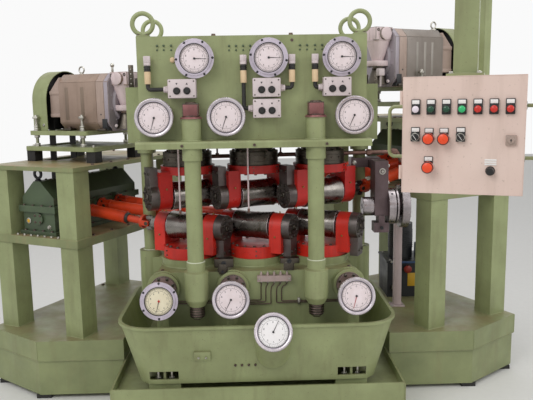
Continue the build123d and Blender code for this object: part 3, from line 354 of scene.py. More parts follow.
PACK_BLUE = Enamel("pack_blue_enamel", "2E4F7C", "264266", "20242C", "7C8894", gloss=0.4)
PACK_YELLOW = Moulded("yellow_plastic", "D8A92C", "9C7C28", 0.4)
PACK_BLACK = Enamel("pack_black_enamel", "25262A", "1B1C1E", "14120F", "5A5854", gloss=0.42, grime_share=0.4)
# The floor isn't part of the machine
FLOOR_VINYL = Moulded("studio_floor_vinyl", "DCDAD6", "D2D0CC", 0.7, 40, 0.3)


# Making pieces


# Directions of the main axes
UP, DOWN, FRONT, BACK, RIGHT, LEFT = (0, 0, 1), (0, 0, -1), (0, -1, 0), (0, 1, 0), (1, 0, 0), (-1, 0, 0)
# Both signs of anything that comes in a mirrored pair
SIDES = (-1, 1)
# Edges that turn by more degrees than this stay sharp
SHARP_ANGLE = 38
# Radii of the usual weld beads
BEAD, THIN_BEAD = 0.0042, 0.0040
MIRROR = Matrix.Scale(-1, 4, (1, 0, 0))


def shift(x: float, y: float, z: float) -> Matrix:
    """Gives the matrix that moves by x, y and z metres."""
    return Matrix.Translation((x, y, z))


def rotate(degrees: float, axis: str) -> Matrix:
    """Gives the matrix that turns about one of the main axes."""
    return Matrix.Rotation(math.radians(degrees), 4, axis)


def facing(x: float, y: float, z: float, tilt: float = 0.0) -> Matrix:
    """Gives a frame whose Z axis points to the operator, tilted upwards by degrees, and whose Y axis points up."""
    return shift(x, y, z) @ rotate(90 - tilt, "X")


def grid(*axes: float | Iterable[float]) -> Iterable[tuple]:
    """Gives all points of a grid; an axis is a list of values or a single one."""
    return product(*[axis if isinstance(axis, Iterable) else (axis,) for axis in axes])


def steps(start: float, pitch: float, count: int) -> list[float]:
    """Gives evenly spaced values."""
    return [start + pitch * i for i in range(count)]


def around(radius: float, count: int, phase: float = 0.0) -> list[tuple[float, float]]:
    """Gives evenly spaced points on a circle, the first one at phase degrees."""
    turns = [math.radians(phase) + math.tau * i / count for i in range(count)]
    return [(radius * math.cos(t), radius * math.sin(t)) for t in turns]


def aim(direction: Vector) -> Matrix:
    """Turns the Z axis to a direction."""
    return direction.to_track_quat("Z", "Y").to_matrix().to_4x4()


def link(name: str, data: bpy.types.ID | None) -> bpy.types.Object:
    """Puts a new object with this data in the scene and returns it."""
    made = bpy.data.objects.new(name, data)
    bpy.context.scene.collection.objects.link(made)
    return made


class Head(Enum):
    """Kinds of fastener heads on the machine."""

    HEX = "hexagon head on a washer"
    SOCKET = "socket cap screw"
    PAN = "pan head screw"
    NIPPLE = "grease nipple"


# (radius, height) outlines of the turned heads, in thread diameters
HEAD_OUTLINES = {
    Head.SOCKET: ((0, 0), (0.8, 0), (0.8, 0.85), (0.72, 1), (0.42, 1), (0.42, 0.5), (0, 0.5)),
    Head.PAN: ((0, 0), (1, 0), (1, 0.25), (0.8, 0.55), (0.3, 0.68), (0.22, 0.4), (0, 0.38)),
    Head.NIPPLE: ((0, 0), (0.9, 0), (0.9, 0.7), (0.5, 0.9), (0.4, 1.3), (0.55, 1.6), (0.4, 1.95), (0, 2)),
}
WASHER = ((0, 0), (1.15, 0), (1.15, 0.14), (1.05, 0.2), (0, 0.2))
# The hexagon on the washer, in thread diameters too
HEX_FOOT, HEX_TOP, HEX_RADIUS, HEX_CHAMFER = 0.15, 0.88, 0.92, 0.07


def scaled(outline: Sequence[Point], size: float) -> list[tuple[float, float]]:
    """Scales an outline."""
    return [(r * size, z * size) for r, z in outline]


def soften(part: bmesh.types.BMesh, edges: list, width: float) -> None:
    """Rounds edges of a solid."""
    bmesh.ops.bevel(part, geom=edges, offset=width, affect="EDGES", segments=2, profile=0.5, material=-1)


class Shape:
    """One piece in the making: solids made one by one with bmesh operators and joined in one mesh."""

    def __init__(self, name: str, place: Matrix | None = None) -> None:
        """Starts an empty piece whose solids are drawn in the frame that place gives."""
        self.name = name
        self.place = place if place is not None else Matrix()
        self.mesh = bmesh.new()

    def add(self, part: bmesh.types.BMesh, place: Matrix | None = None) -> "Shape":
        """Moves a finished solid to its place and joins it to the piece."""
        total = self.place @ (place if place is not None else Matrix())
        part.transform(total)
        if total.determinant() < 0:
            bmesh.ops.reverse_faces(part, faces=part.faces)
        scratch = bpy.data.meshes.new("scratch")
        part.to_mesh(scratch)
        part.free()
        return self.join(scratch)

    def join(self, mesh: bpy.types.Mesh) -> "Shape":
        """Joins a mesh that is in its place to the piece and removes it."""
        self.mesh.from_mesh(mesh)
        bpy.data.meshes.remove(mesh)
        return self

    def drum(self, start: Point, end: Point, radius: float, sides: int = 32, chamfer: float = 0.0) -> "Shape":
        """Adds a round bar or prism.

        Args:
            start: centre of the first end.
            end: centre of the last end.
            radius: radius of its corners.
            sides: number of flats round it.
            chamfer: width of the rounding on both rims.

        Returns:
            The piece.
        """
        a, b = Vector(start), Vector(end)
        part = bmesh.new()
        bmesh.ops.create_cone(part, cap_ends=True, segments=sides, radius1=radius, radius2=radius, depth=(b - a).length)
        if chamfer:
            soften(part, [e for e in part.edges if any(len(f.verts) > 4 for f in e.link_faces)], chamfer)
        return self.add(part, Matrix.Translation((a + b) / 2) @ aim(b - a))

    def brick(self, centre: Point, size: Point, edge: float = 0.0, turn: Matrix | None = None) -> "Shape":
        """Adds a block with its edges rounded by edge and turned about its centre by turn."""
        part = bmesh.new()
        bmesh.ops.create_cube(part, size=1)
        bmesh.ops.scale(part, vec=size, verts=part.verts)
        if edge:
            soften(part, part.edges[:], edge)
        return self.add(part, Matrix.Translation(centre) @ (turn if turn is not None else Matrix()))

    def lathe(self, outline: Sequence[Point], place: Matrix | None = None, sides: int = 40,
              closed: bool = False) -> "Shape":
        """Turns an outline round the Z axis of a place.

        Args:
            outline: (radius, height) points from the bottom outwards and up.
            place: where the axis stands.
            sides: steps round the axis.
            closed: whether the outline joins up, as a ring's does.

        Returns:
            The piece.
        """
        part = bmesh.new()
        points = [part.verts.new((r, 0, z)) for r, z in outline]
        runs = list(zip(points, points[1:])) + ([(points[-1], points[0])] if closed else [])
        lines = [part.edges.new(run) for run in runs]
        bmesh.ops.spin(part, geom=points + lines, cent=(0, 0, 0), axis=(0, 0, 1), angle=math.tau, steps=sides,
                       use_merge=True)
        bmesh.ops.remove_doubles(part, verts=part.verts, dist=1e-6)
        bmesh.ops.recalc_face_normals(part, faces=part.faces)
        return self.add(part, place)

    def ring(self, inner: float, outer: float, low: float, high: float, place: Matrix | None = None,
             sides: int = 40) -> "Shape":
        """Adds a flat ring between two radii and two heights on the Z axis of a place."""
        return self.lathe([(inner, low), (outer, low), (outer, high), (inner, high)], place, sides, True)

    def hoop(self, place: Matrix, big: float, small: float, sides: int = 40, round_sides: int = 8) -> "Shape":
        """Adds a round ring about the Z axis of a place."""
        turns = [math.tau * i / round_sides for i in range(round_sides)]
        return self.lathe([(big + small * math.cos(t), small * math.sin(t)) for t in turns], place, sides, True)

    def ball(self, centre: Point, radius: float) -> "Shape":
        """Adds a ball."""
        part = bmesh.new()
        bmesh.ops.create_uvsphere(part, u_segments=20, v_segments=12, radius=radius)
        return self.add(part, Matrix.Translation(centre))

    def prism(self, outline: Sequence[Point], depth: float, place: Matrix | None = None,
              edge: float = 0.0) -> "Shape":
        """Adds a flat plate cut to an outline of (x, y) points and raised by depth along Z."""
        part = bmesh.new()
        face = part.faces.new([part.verts.new((x, y, 0)) for x, y in outline])
        made = bmesh.ops.extrude_face_region(part, geom=[face])["geom"]
        bmesh.ops.translate(part, vec=(0, 0, depth), verts=[v for v in made if isinstance(v, bmesh.types.BMVert)])
        bmesh.ops.recalc_face_normals(part, faces=part.faces)
        if edge:
            soften(part, part.edges[:], edge)
        return self.add(part, place)

    def add_curve(self, curve: bpy.types.Curve, place: Matrix | None = None) -> "Shape":
        """Adds what a curve or text looks like as a mesh."""
        part, mesh = bmesh.new(), curve_mesh(curve)
        part.from_mesh(mesh)
        bpy.data.meshes.remove(mesh)
        return self.add(part, place)

    def pipe(self, points: Sequence[Point], radius: float) -> "Shape":
        """Adds a smoothly bent pipe that follows its points."""
        curve = bent(points)
        curve.bevel_depth = radius
        curve.bevel_resolution = 4
        curve.use_fill_caps = True
        return self.add_curve(curve)

    def weld(self, start: Point, end: Point, radius: float) -> "Shape":
        """Adds a weld bead of overlapping scales from start to end."""
        a, b = Vector(start), Vector(end)
        length = (b - a).length
        scales = max(2, round(length / (radius * 1.8)))
        outline = [(0, 0)]
        for i in range(scales):
            outline += [(radius * 0.78, length * i / scales), (radius, length * (i + 0.65) / scales)]
        outline += [(radius * 0.78, length), (0, length)]
        return self.lathe(outline, Matrix.Translation(a) @ aim(b - a), 8)

    def weld_round(self, across: Point, depth: Point, z: float, radius: float) -> "Shape":
        """Adds weld beads round a rectangle that spans two ranges at one height."""
        (x0, x1), (y0, y1) = across, depth
        corners = [(x0, y0, z), (x1, y0, z), (x1, y1, z), (x0, y1, z)]
        for start, end in zip(corners, corners[1:] + corners[:1]):
            self.weld(start, end, radius)
        return self

    def words(self, text: str, height: float, depth: float, place: Matrix) -> "Shape":
        """Adds raised figures, centred on the XY plane of a place."""
        curve = bpy.data.curves.new("figure", "FONT")
        curve.body = text
        curve.size = height
        curve.extrude = depth
        curve.align_x, curve.align_y = "CENTER", "CENTER"
        return self.add_curve(curve, place)

    def bolt(self, at: Point, axis: Point, size: float, head: Head = Head.HEX) -> "Shape":
        """Sets one fastener on a surface.

        Args:
            at: where its axis leaves the surface.
            axis: the direction that its head points in.
            size: the thread's diameter.
            head: the kind of head.

        Returns:
            The piece.
        """
        place = Matrix.Translation(at) @ aim(Vector(axis))
        if head in HEAD_OUTLINES:
            return self.lathe(scaled(HEAD_OUTLINES[head], size), place, 16)
        self.lathe(scaled(WASHER, size), place, 20)
        keep, self.place = self.place, self.place @ place
        self.drum((0, 0, HEX_FOOT * size), (0, 0, HEX_TOP * size), HEX_RADIUS * size, 6, HEX_CHAMFER * size)
        self.place = keep
        return self

    def bolts(self, spots: Iterable[Point], axis: Point, size: float, head: Head = Head.HEX) -> "Shape":
        """Sets the same fastener at several places."""
        for spot in spots:
            self.bolt(spot, axis, size, head)
        return self

    def done(self, finish: Finish, body: str = MACHINE, slot: str = "") -> bpy.types.Object:
        """Ends the piece.

        Args:
            finish: what it is painted with or made of.
            body: the body that it rides on.
            slot: a material slot's name; it is not used.

        Returns:
            The finished object.
        """
        mesh = bpy.data.meshes.new(self.name)
        self.mesh.to_mesh(mesh)
        self.mesh.free()
        mesh.materials.append(finish.material())
        mesh.shade_smooth()
        mesh.set_sharp_from_angle(angle=math.radians(SHARP_ANGLE))
        piece = link(self.name, mesh)
        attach(piece, body)
        LOG.info("%s: %d faces on %s", self.name, len(mesh.polygons), body)
        return piece


def bent(points: Sequence[Point]) -> bpy.types.Curve:
    """Gives a smooth open curve with these control points."""
    curve = bpy.data.curves.new("route", "CURVE")
    curve.dimensions = "3D"
    curve.resolution_u = 6
    spline = curve.splines.new("NURBS")
    spline.points.add(len(points) - 1)
    for point, place in zip(spline.points, points):
        point.co = (*place, 1)
    spline.order_u = 3
    spline.use_endpoint_u = True
    return curve


def curve_mesh(curve: bpy.types.Curve) -> bpy.types.Mesh:
    """Turns a curve or text into a mesh and removes it."""
    holder = link("holder", curve)
    bpy.context.view_layer.update()
    mesh = bpy.data.meshes.new_from_object(holder.evaluated_get(bpy.context.evaluated_depsgraph_get()))
    bpy.data.objects.remove(holder)
    bpy.data.curves.remove(curve)
    return mesh


def along(points: Sequence[Point], pitch: float) -> list[tuple[Vector, Vector]]:
    """Gives places every pitch along a smooth route through points, each with the route's direction there."""
    mesh = curve_mesh(bent(points))
    line = [v.co.copy() for v in mesh.vertices]
    bpy.data.meshes.remove(mesh)
    found, wait = [], pitch / 2
    for a, b in zip(line, line[1:]):
        length = (b - a).length
        while wait <= length:
            found.append((a.lerp(b, wait / length), (b - a).normalized()))
            wait += pitch
        wait -= length
    return found


# Frames and places that the machine's groups are drawn in


PASS_Z = 1.048
AXIS_DROP = 0.086
ROLL_PITCH = 0.350
SKEW = 27.0
HEAD_FRONT = -0.262
RIGHT_RISE = 0.226
NAMES = ("left", "middle", "right")
# Name, place in the row and whether it is an upper one, for each roll
ROLL_SETS = [(f"{row}_{name}", i, row == "upper") for row in ("lower", "upper") for i, name in enumerate(NAMES)]
# Name of each drive stand and whether it is the right one
STANDS = (("left", False), ("right", True))
FRONT_COLUMNS = ((-0.298, -0.305), (0.298, -0.305))
REAR_COLUMNS = ((-0.596, 0.214), (0.596, 0.214))


def roll_frame(index: int, upper: bool) -> Matrix:
    """Gives a roll's frame, its X axis running to the near end."""
    x = (index - 1) * ROLL_PITCH
    lower = shift(x, 0, 0) @ rotate(-SKEW, "Z") @ shift(0, 0, -AXIS_DROP)
    if upper:
        return shift(0, 0, PASS_Z) @ shift(2 * x, 0, 0) @ rotate(180, "Y") @ lower
    return shift(0, 0, PASS_Z) @ lower


def stand_frame(right: bool, rise: float = RIGHT_RISE) -> Matrix:
    """Gives a drive stand's turned frame, the right one mirrored and raised."""
    if right:
        return shift(0, 0, rise) @ MIRROR @ rotate(-SKEW, "Z")
    return rotate(-SKEW, "Z")


def stand_point(u: float, v: float, z: float, right: bool = False) -> Vector:
    """Turns a point of a stand's frame into machine coordinates."""
    return stand_frame(right, 0) @ Vector((u, v, z))


# Stands a flat outline up across a stand's belt: X runs along v, Y up and Z along u
UPRIGHT = Matrix(((0, 0, 1, 0), (1, 0, 0, 0), (0, 1, 0, 0), (0, 0, 0, 1)))
CABINET_FRAME = shift(0.698, -1.240, 1.497) @ rotate(-21.9, "Z")


# The machine's groups


@dataclass
class Studio:
    """Plain pale floor, soft light and the camera at the photograph's place."""

    eye: Point = (-0.029, -3.435, 1.637)
    yaw: float = -0.027
    pitch: float = 0.157
    roll: float = 0.016
    lens: float = 43.9
    sensor: float = 36.0
    floor_half: float = 14.0
    aim_height: float = 1.0
    # Name, place, size in metres and watts of each light panel
    panels: tuple = (("key_panel", (-2.6, -3.6, 4.6), 3.0, 106), ("fill_panel", (3.4, -2.6, 3.2), 2.6, 43),
                     ("top_panel", (0.4, 0.6, 5.2), 3.4, 74))

    def build(self) -> None:
        """Makes camera, floor and lights."""
        self.camera()
        self.floor()
        self.room()
        for name, place, size, watts in self.panels:
            self.panel(name, place, size, watts)

    def camera(self) -> None:
        """Sets the camera by its yaw, pitch and roll in radians."""
        cy, sy, cp, sp = math.cos(self.yaw), math.sin(self.yaw), math.cos(self.pitch), math.sin(self.pitch)
        cr, sr = math.cos(self.roll), math.sin(self.roll)
        right, ahead = Vector((cy, sy, 0)), Vector((-sy * cp, cy * cp, -sp))
        down = ahead.cross(right)
        level, drop = right * cr + down * sr, down * cr - right * sr
        data = bpy.data.cameras.new("camera")
        data.lens, data.sensor_width, data.clip_end = self.lens, self.sensor, 200.0
        camera = link("camera", data)
        camera.matrix_world = shift(*self.eye) @ Matrix((level, -drop, -ahead)).transposed().to_4x4()
        bpy.context.scene.camera = camera

    def floor(self) -> None:
        """Lays the pale floor, which isn't part of the machine."""
        part = bmesh.new()
        bmesh.ops.create_grid(part, x_segments=8, y_segments=8, size=self.floor_half)
        mesh = bpy.data.meshes.new("studio_floor")
        part.to_mesh(mesh)
        part.free()
        mesh.materials.append(FLOOR_VINYL.material())
        link("studio_floor", mesh)

    def room(self) -> None:
        """Fills the room with even light before a plain white wall."""
        world = bpy.data.worlds.new("studio")
        bpy.context.scene.world = world
        world.use_nodes = True
        tree = world.node_tree
        tree.nodes.clear()
        seen = add_node(tree, "ShaderNodeLightPath")
        plain = add_node(tree, "ShaderNodeMath",
                         {0: seen.outputs["Is Camera Ray"], 1: seen.outputs["Is Glossy Ray"]}, operation="MAXIMUM")
        room = add_node(tree, "ShaderNodeBackground", {"Color": linear("EEF0F2"), "Strength": 0.68})
        white = add_node(tree, "ShaderNodeBackground", {"Color": linear("FAFAFA"), "Strength": 1.0})
        both = add_node(tree, "ShaderNodeMixShader", {0: plain.outputs[0], 1: room.outputs[0], 2: white.outputs[0]})
        add_node(tree, "ShaderNodeOutputWorld", {0: both.outputs[0]})

    def panel(self, name: str, place: Point, size: float, watts: float) -> None:
        """Hangs one soft square light that looks at the machine."""
        data = bpy.data.lights.new(name, "AREA")
        data.shape, data.size, data.energy = "SQUARE", size, watts
        ahead = Vector((0, 0, self.aim_height)) - Vector(place)
        turn = ahead.to_track_quat("-Z", "Y").to_matrix().to_4x4()
        link(name, data).matrix_world = Matrix.Translation(place) @ turn


@dataclass
class Paint:
    """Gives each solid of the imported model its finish."""

    finishes: dict[Finish, str] = field(default_factory=lambda: {
        SAGE: "crosshead columns bed oil_tray drip_tray dial_mounts stand_legs cabinet_arm cabinet_handles "
              "belt_guards motor_slides lifting_eyes",
        TABLE_GREEN: "stand_tables", PLINTH_GREEN: "plinths", GEAR_GREEN: "gearboxes", MOTOR_WARM: "motors",
        YOKE_RED_SHADED: "upper_yokes", YOKE_RED: "lower_yokes", CAP_STEEL: "bearing_caps",
        OILY_STEEL: "lift_screws column_nuts", WORM_GREY: "worm_caps", PIPE_BROWN: "header_pipe",
        MANIFOLD_GREY: "manifold", GUIDE_DARK: "exit_guide", RUBBER: "plinth_feet slide_rubbers belt_drives",
        HOSE_BLACK: "conduits", PACK_BLACK: "power_pack", BOX_GREY: "button_boxes", SATIN: "dial_cases",
        CABINET_BEIGE: "cabinet_box cabinet_door", BLACK_PLASTIC: "door_devices",
        ROLL_STEEL: " ".join("roll_" + name for name, _, _ in ROLL_SETS),
        SHAFT_ORANGE: " ".join("cardan_" + name for name, _, _ in ROLL_SETS),
    })

    def build(self) -> None:
        """Paints every node."""
        coats = {name: finish for finish, names in self.finishes.items() for name in names.split()}
        for name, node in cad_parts.items():
            node.data.materials[0] = coats[name].material()
            LOG.info("painted %s with %s", name, coats[name].name)


@dataclass(frozen=True)
class Dial:
    """One dial.

    Attributes:
        name: the pieces' name.
        at: centre of its back.
        tilt: degrees that it leans back by.
        flanged: whether the case is the flanged kind.
        pointer: where the pointer points, in degrees from the right, anticlockwise.
        face: the face's finish.
        red: which piece is red, the "hub" or the "pointer", or neither.
        turn: where the flange's first screw sits, in degrees from the right.
    """

    name: str
    at: Point
    tilt: float
    flanged: bool
    pointer: float
    face: Finish = DIAL_WHITE
    red: str = ""
    turn: float = 30.0


@dataclass
class Dials:
    """Faces, scales and pointers of the ten position dials."""

    face_z: float = 0.0523
    flange_face: float = 0.0665
    bezel_face: float = 0.0755
    screw_circle: float = 0.0855
    ticks: int = 50
    figures: int = 10
    dials: tuple = (
        Dial("top_dial_left", (-0.273, HEAD_FRONT, 1.821), 0, True, 358, turn=2),
        Dial("top_dial_middle", (0.076, HEAD_FRONT, 1.821), 0, True, 358, turn=-9.5),
        Dial("top_dial_right", (0.422, HEAD_FRONT, 1.821), 0, True, 358, turn=-6),
        Dial("low_dial_left", (-0.473, HEAD_FRONT, 1.548), 0, False, 254),
        Dial("low_dial_middle", (-0.131, HEAD_FRONT, 1.547), 0, False, 251),
        Dial("low_dial_right", (0.483, HEAD_FRONT, 1.546), 0, False, 246),
        Dial("base_dial_left", (-0.474, -0.352, 0.664), 10, True, 257, DIAL_CREAM, "hub"),
        Dial("base_dial_middle", (-0.128, -0.318, 0.652), 10, False, 243),
        Dial("base_dial_right", (0.487, -0.330, 0.660), 10, False, 255, red="pointer"),
        # The tray dial's face takes the lighter white: painted highlight
        Dial("tray_dial", (0.073, -0.436, 0.512), 24, False, 63, DIAL_WHITE_LIT),
    )

    def build(self) -> None:
        """Makes all ten dials."""
        for dial in self.dials:
            place = facing(*dial.at, dial.tilt)
            r = self.flange_face if dial.flanged else self.bezel_face
            self.face(dial, place, r)
            self.hand(dial, place, r)
            self.rim(dial, place)

    def face(self, dial: Dial, place: Matrix, r: float) -> None:
        """Makes a dial's face of radius r and prints its rings, ticks and figures."""
        z = self.face_z
        face = Shape(dial.name + "_face", place)
        face.lathe([(0, z - 0.0002), (r, z - 0.0002), (r, z + 0.0006), (r * 0.97, z + 0.001), (0, z + 0.001)], sides=64)
        face.done(dial.face)
        scale, top = Shape(dial.name + "_scale", place), z + 0.0011
        for share in (0.93, 0.74):
            scale.ring(r * share, r * share + 0.0009, top, top + 0.0002, sides=64)
        for i in range(self.ticks):
            angle, fifth = math.tau * i / self.ticks, i % 5 == 0
            long = 0.011 if fifth else 0.006
            spot = r * 0.925 - long / 2
            scale.brick((spot * math.cos(angle), spot * math.sin(angle), top + 0.0001),
                        (long, 0.0012 if fifth else 0.0007, 0.0003), turn=Matrix.Rotation(angle, 4, "Z"))
        for i in range(self.figures):
            angle = math.tau * (0.25 - i / self.figures)
            scale.words(str(i), 0.012, 0.0002, shift(r * 0.62 * math.cos(angle), r * 0.62 * math.sin(angle), top))
        scale.done(PRINT_BLACK)

    def hand(self, dial: Dial, place: Matrix, r: float) -> None:
        """Makes the pointer and the hub of a dial with a face of radius r."""
        z = self.face_z + 0.0025
        hand = Shape(dial.name + "_pointer", place @ rotate(dial.pointer, "Z"))
        half = [(-r * 0.05, -0.0019), (r * 0.2, -0.0015), (r * 0.82, -0.0006)]
        hand.prism(half + [(x, -y) for x, y in reversed(half)], 0.0010, shift(0, 0, z), 0.0002)
        hand.done(PRINT_RED if dial.red == "pointer" else PRINT_BLACK)
        hub = Shape(dial.name + "_hub", place)
        hub.lathe([(0, z - 0.002), (0.0052, z - 0.002), (0.0052, z + 0.0024), (0.0042, z + 0.0034), (0, z + 0.0036)])
        hub.done(PRINT_RED if dial.red == "hub" else PACK_BLACK)

    def rim(self, dial: Dial, place: Matrix) -> None:
        """Adds the screws of a flanged case, or the bright bezel of the other kind, and the black ring."""
        if dial.flanged:
            screws = Shape(dial.name + "_screws", place)
            screws.bolts([(x, y, 0.052) for x, y in around(self.screw_circle, 6, dial.turn)], UP, 0.0058, Head.PAN)
            screws.done(PACK_BLACK)
            outline = [(0.0668, 0.0524), (0.0702, 0.0524), (0.0702, 0.0606), (0.0692, 0.0612), (0.0668, 0.0612)]
        else:
            bezel = Shape(dial.name + "_bezel", place)
            bezel.lathe([(0.0765, 0.0535), (0.0795, 0.0612), (0.084, 0.0632), (0.0895, 0.0622), (0.0924, 0.0585),
                         (0.0926, 0.041), (0.0922, 0.040), (0.0922, 0.0585), (0.084, 0.0602)], sides=72, closed=True)
            bezel.done(RIM_STEEL, slot="satin_aluminium")
            outline = [(0.0725, 0.0524), (0.0758, 0.0524), (0.0758, 0.0585), (0.0745, 0.059), (0.0725, 0.0560)]
        Shape(dial.name + "_ring", place).lathe(outline, sides=64, closed=True).done(BLACK_PLASTIC)


@dataclass
class ButtonBoxes:
    """Lids, screws and push buttons of the four small control boxes."""

    boxes: tuple = ((-0.402, 1.638), (-0.002, 1.638), (-0.002, 1.540), (0.334, 1.638))
    wide: float = 0.133
    high: float = 0.089
    front: float = -0.320
    inset: float = 0.010

    def build(self) -> None:
        """Makes each box's lid with its seam, four screws, two buttons and their arrows."""
        w, h = self.wide, self.high
        for i, (x, z) in enumerate(self.boxes):
            name, place = f"box_{i}", facing(x + w / 2, self.front, z + h / 2)
            Shape(name + "_seam", place).brick((0, 0, -0.012), (w + 0.0012, h + 0.0012, 0.0016), 0.0004).done(RUBBER)
            Shape(name + "_lid", place).brick((0, 0, 0.0008), (w - 0.004, h - 0.004, 0.003), 0.0012).done(BOX_GREY)
            spots = grid([s * (w / 2 - self.inset) for s in SIDES], [s * (h / 2 - self.inset) for s in SIDES], 0.0022)
            Shape(name + "_screws", place).bolts(spots, UP, 0.0035, Head.PAN).done(OILY_STEEL)
            self.buttons(name, place, left_up=i == 2)

    def buttons(self, name: str, place: Matrix, left_up: bool) -> None:
        """Makes the two buttons with their collars and arrows, the left arrow pointing up or down."""
        parts, marks = Shape(name + "_buttons", place), Shape(name + "_arrows", place)
        for side in SIDES:
            x, up = side * self.wide * 0.18, 1 if (side < 0) == left_up else -1
            middle = shift(x, -0.0105, 0)
            parts.lathe([(0, 0.002), (0.0172, 0.002), (0.0172, 0.006), (0.0155, 0.0085), (0.0130, 0.0085),
                         (0.0126, 0.0065), (0, 0.0065)], middle, 36)
            parts.lathe([(0, 0.006), (0.0118, 0.006), (0.0118, 0.0105), (0.0105, 0.0118), (0, 0.0112)], middle, 36)
            marks.prism([(-0.0055, -0.004 * up), (0.0055, -0.004 * up), (0, 0.0055 * up)], 0.0003,
                        shift(x, 0.0225, 0.0022))
        parts.done(BLACK_PLASTIC)
        marks.done(PRINT_BLACK)


@dataclass
class Conduits:
    """Wall glands, sleeves and ribbed hoses that lead to the small control boxes."""

    y: float = -0.291
    # Where each one hangs, the box wall that it enters and the height of its end
    routes: tuple = ((-0.498, -0.402, 1.680), (-0.044, -0.002, 1.585), (0.187, 0.131, 1.680), (0.297, 0.334, 1.680))
    rib_pitch: float = 0.0045

    def build(self) -> None:
        """Makes each conduit's nuts, collar, sleeve and ribs."""
        y = self.y
        for i, (x, end, z) in enumerate(self.routes):
            name, side = f"conduit_{i}", 1 if end > x else -1
            nut, gland = end - side * 0.012, end - side * 0.022
            nuts = Shape(name + "_nuts")
            nuts.drum((x, y, 1.806), (x, y, 1.836), 0.0182, 6, 0.0015)
            nuts.drum((x, y, 1.792), (x, y, 1.806), 0.0165, 24, 0.001)
            nuts.drum((nut, y, z), (end, y, z), 0.0165, 6, 0.0015)
            nuts.drum((gland, y, z), (nut, y, z), 0.0145, 24, 0.001)
            nuts.drum((x, y + 0.012, 1.816), (x, HEAD_FRONT, 1.816), 0.0125, 20)
            nuts.done(BOX_GREY, slot="motor_grey")
            collar = Shape(name + "_collar")
            for low in (1.768, 1.776, 1.784):
                collar.hoop(shift(x, y, low), 0.0138, 0.0032, 24, 6)
            collar.done(RUBBER)
            sleeve = Shape(name + "_sleeve")
            sleeve.lathe([(0.0142, 1.706), (0.0150, 1.708), (0.0150, 1.762), (0.0142, 1.764)], shift(x, y, 0), 28)
            sleeve.done(CREAM_SLEEVE)
            ribs = Shape(name + "_ribs")
            route = [(x, y, 1.712), (x, y, z + 0.016), (x, y, z), (x + side * 0.016, y, z), (gland, y, z)]
            for spot, ahead in along(route, self.rib_pitch):
                ribs.hoop(Matrix.Translation(spot) @ aim(ahead), 0.0090, 0.0014, 18, 6)
            ribs.done(HOSE_BLACK)


@dataclass
class Crosshead:
    """Nipples, screws, welds and the pale knob on the crosshead."""

    top: float = 1.929
    lip_front: float = -0.360
    lip_top: float = 1.436
    half: float = 0.550
    # Height and places of the nipples in each group
    rows: tuple = ((1.885, (-0.451, -0.420, -0.385)), (1.880, (-0.110, -0.077, -0.043, -0.010)),
                   (1.879, (0.228, 0.262, 0.300, 0.334)))

    def build(self) -> None:
        """Makes the crosshead's small parts."""
        nipples = Shape("crosshead_nipples")
        for x, z in [(x, z) for z, spots in self.rows for x in spots]:
            nipples.bolt((x, HEAD_FRONT, z), FRONT, 0.0062, Head.NIPPLE)
            nipples.bolt((x, HEAD_FRONT, z - 0.020), FRONT, 0.0048, Head.PAN)
        nipples.done(KERB_GREEN)
        screws = Shape("crosshead_screws")
        screws.bolts(grid((-0.341, 0.001, 0.345), self.lip_front, 1.415), FRONT, 0.0085, Head.SOCKET)
        screws.lathe([(0, 0), (0.0075, 0), (0.0075, 0.0012), (0.005, 0.0012), (0.005, 0.0004), (0, 0.0004)],
                     facing(0.190, HEAD_FRONT, 1.904), 20)
        screws.bolts(grid((-0.184, 0.186), -0.240, self.top), UP, 0.012)
        screws.done(BROWN_STEEL)
        knob = Shape("crosshead_knob", facing(-0.380, HEAD_FRONT, 1.818))
        knob.lathe([(0, 0), (0.013, 0), (0.013, 0.006), (0.0105, 0.010), (0.006, 0.012), (0, 0.0125)])
        knob.done(CREAM_SLEEVE)
        self.welds()
        self.cover_bolts()
        self.slotted_plate()

    def slotted_plate(self) -> None:
        """Stands the dark bracket with four screws on the rear beam's left end."""
        plate = Shape("beam_slotted_plate")
        plate.brick((-0.669, 0.250, 1.762), (0.028, 0.006, 0.124), 0.001)
        plate.brick((-0.669, 0.262, 1.703), (0.028, 0.030, 0.006), 0.001)
        plate.done(OILY_STEEL)
        spots = grid(-0.669, 0.247, steps(1.722, 0.026, 4))
        Shape("beam_plate_screws").bolts(spots, FRONT, 0.0042, Head.PAN).done(ZINC)

    def welds(self) -> None:
        """Runs the fillet welds of the box, its lip and the column bosses."""
        beads, z, y = Shape("crosshead_welds"), self.lip_top + 0.001, HEAD_FRONT - 0.001
        beads.weld((-self.half, y, z), (self.half, y, z), BEAD)
        beads.weld((-self.half, 0.131, 1.7005), (self.half, 0.131, 1.7005), BEAD)
        for x in (-0.551, 0.551):
            beads.weld((x, -0.260, z), (x, 0.128, z), BEAD)
            beads.weld((x, 0.129, 1.44), (x, 0.129, 1.70), BEAD)
        for x, y in FRONT_COLUMNS:
            beads.hoop(shift(x, y, z), 0.0470, BEAD, 48, 6)
        for x, y in REAR_COLUMNS:
            beads.hoop(shift(x, y, 1.3995), 0.0515, THIN_BEAD, 48, 6)
        beads.done(SAGE)

    def cover_bolts(self) -> None:
        """Bolts the lifting eyes and the covers at the back and on top."""
        bolts = Shape("crosshead_cover_bolts")
        for x, y in grid((-0.521, 0.521), (-0.222, 0.096)):
            bolts.bolts([(x + dx, y + dy, self.top + 0.008) for dx, dy in around(0.027, 4, 45)], UP, 0.0055)
        for x in steps(-0.48, 0.12, 9):
            bolts.bolts(grid(x, (0.155, 0.270), 1.700), UP, 0.008)
            bolts.bolts(grid(x, 0.295, (1.46, 1.66)), BACK, 0.008)
        bolts.done(BROWN_STEEL)


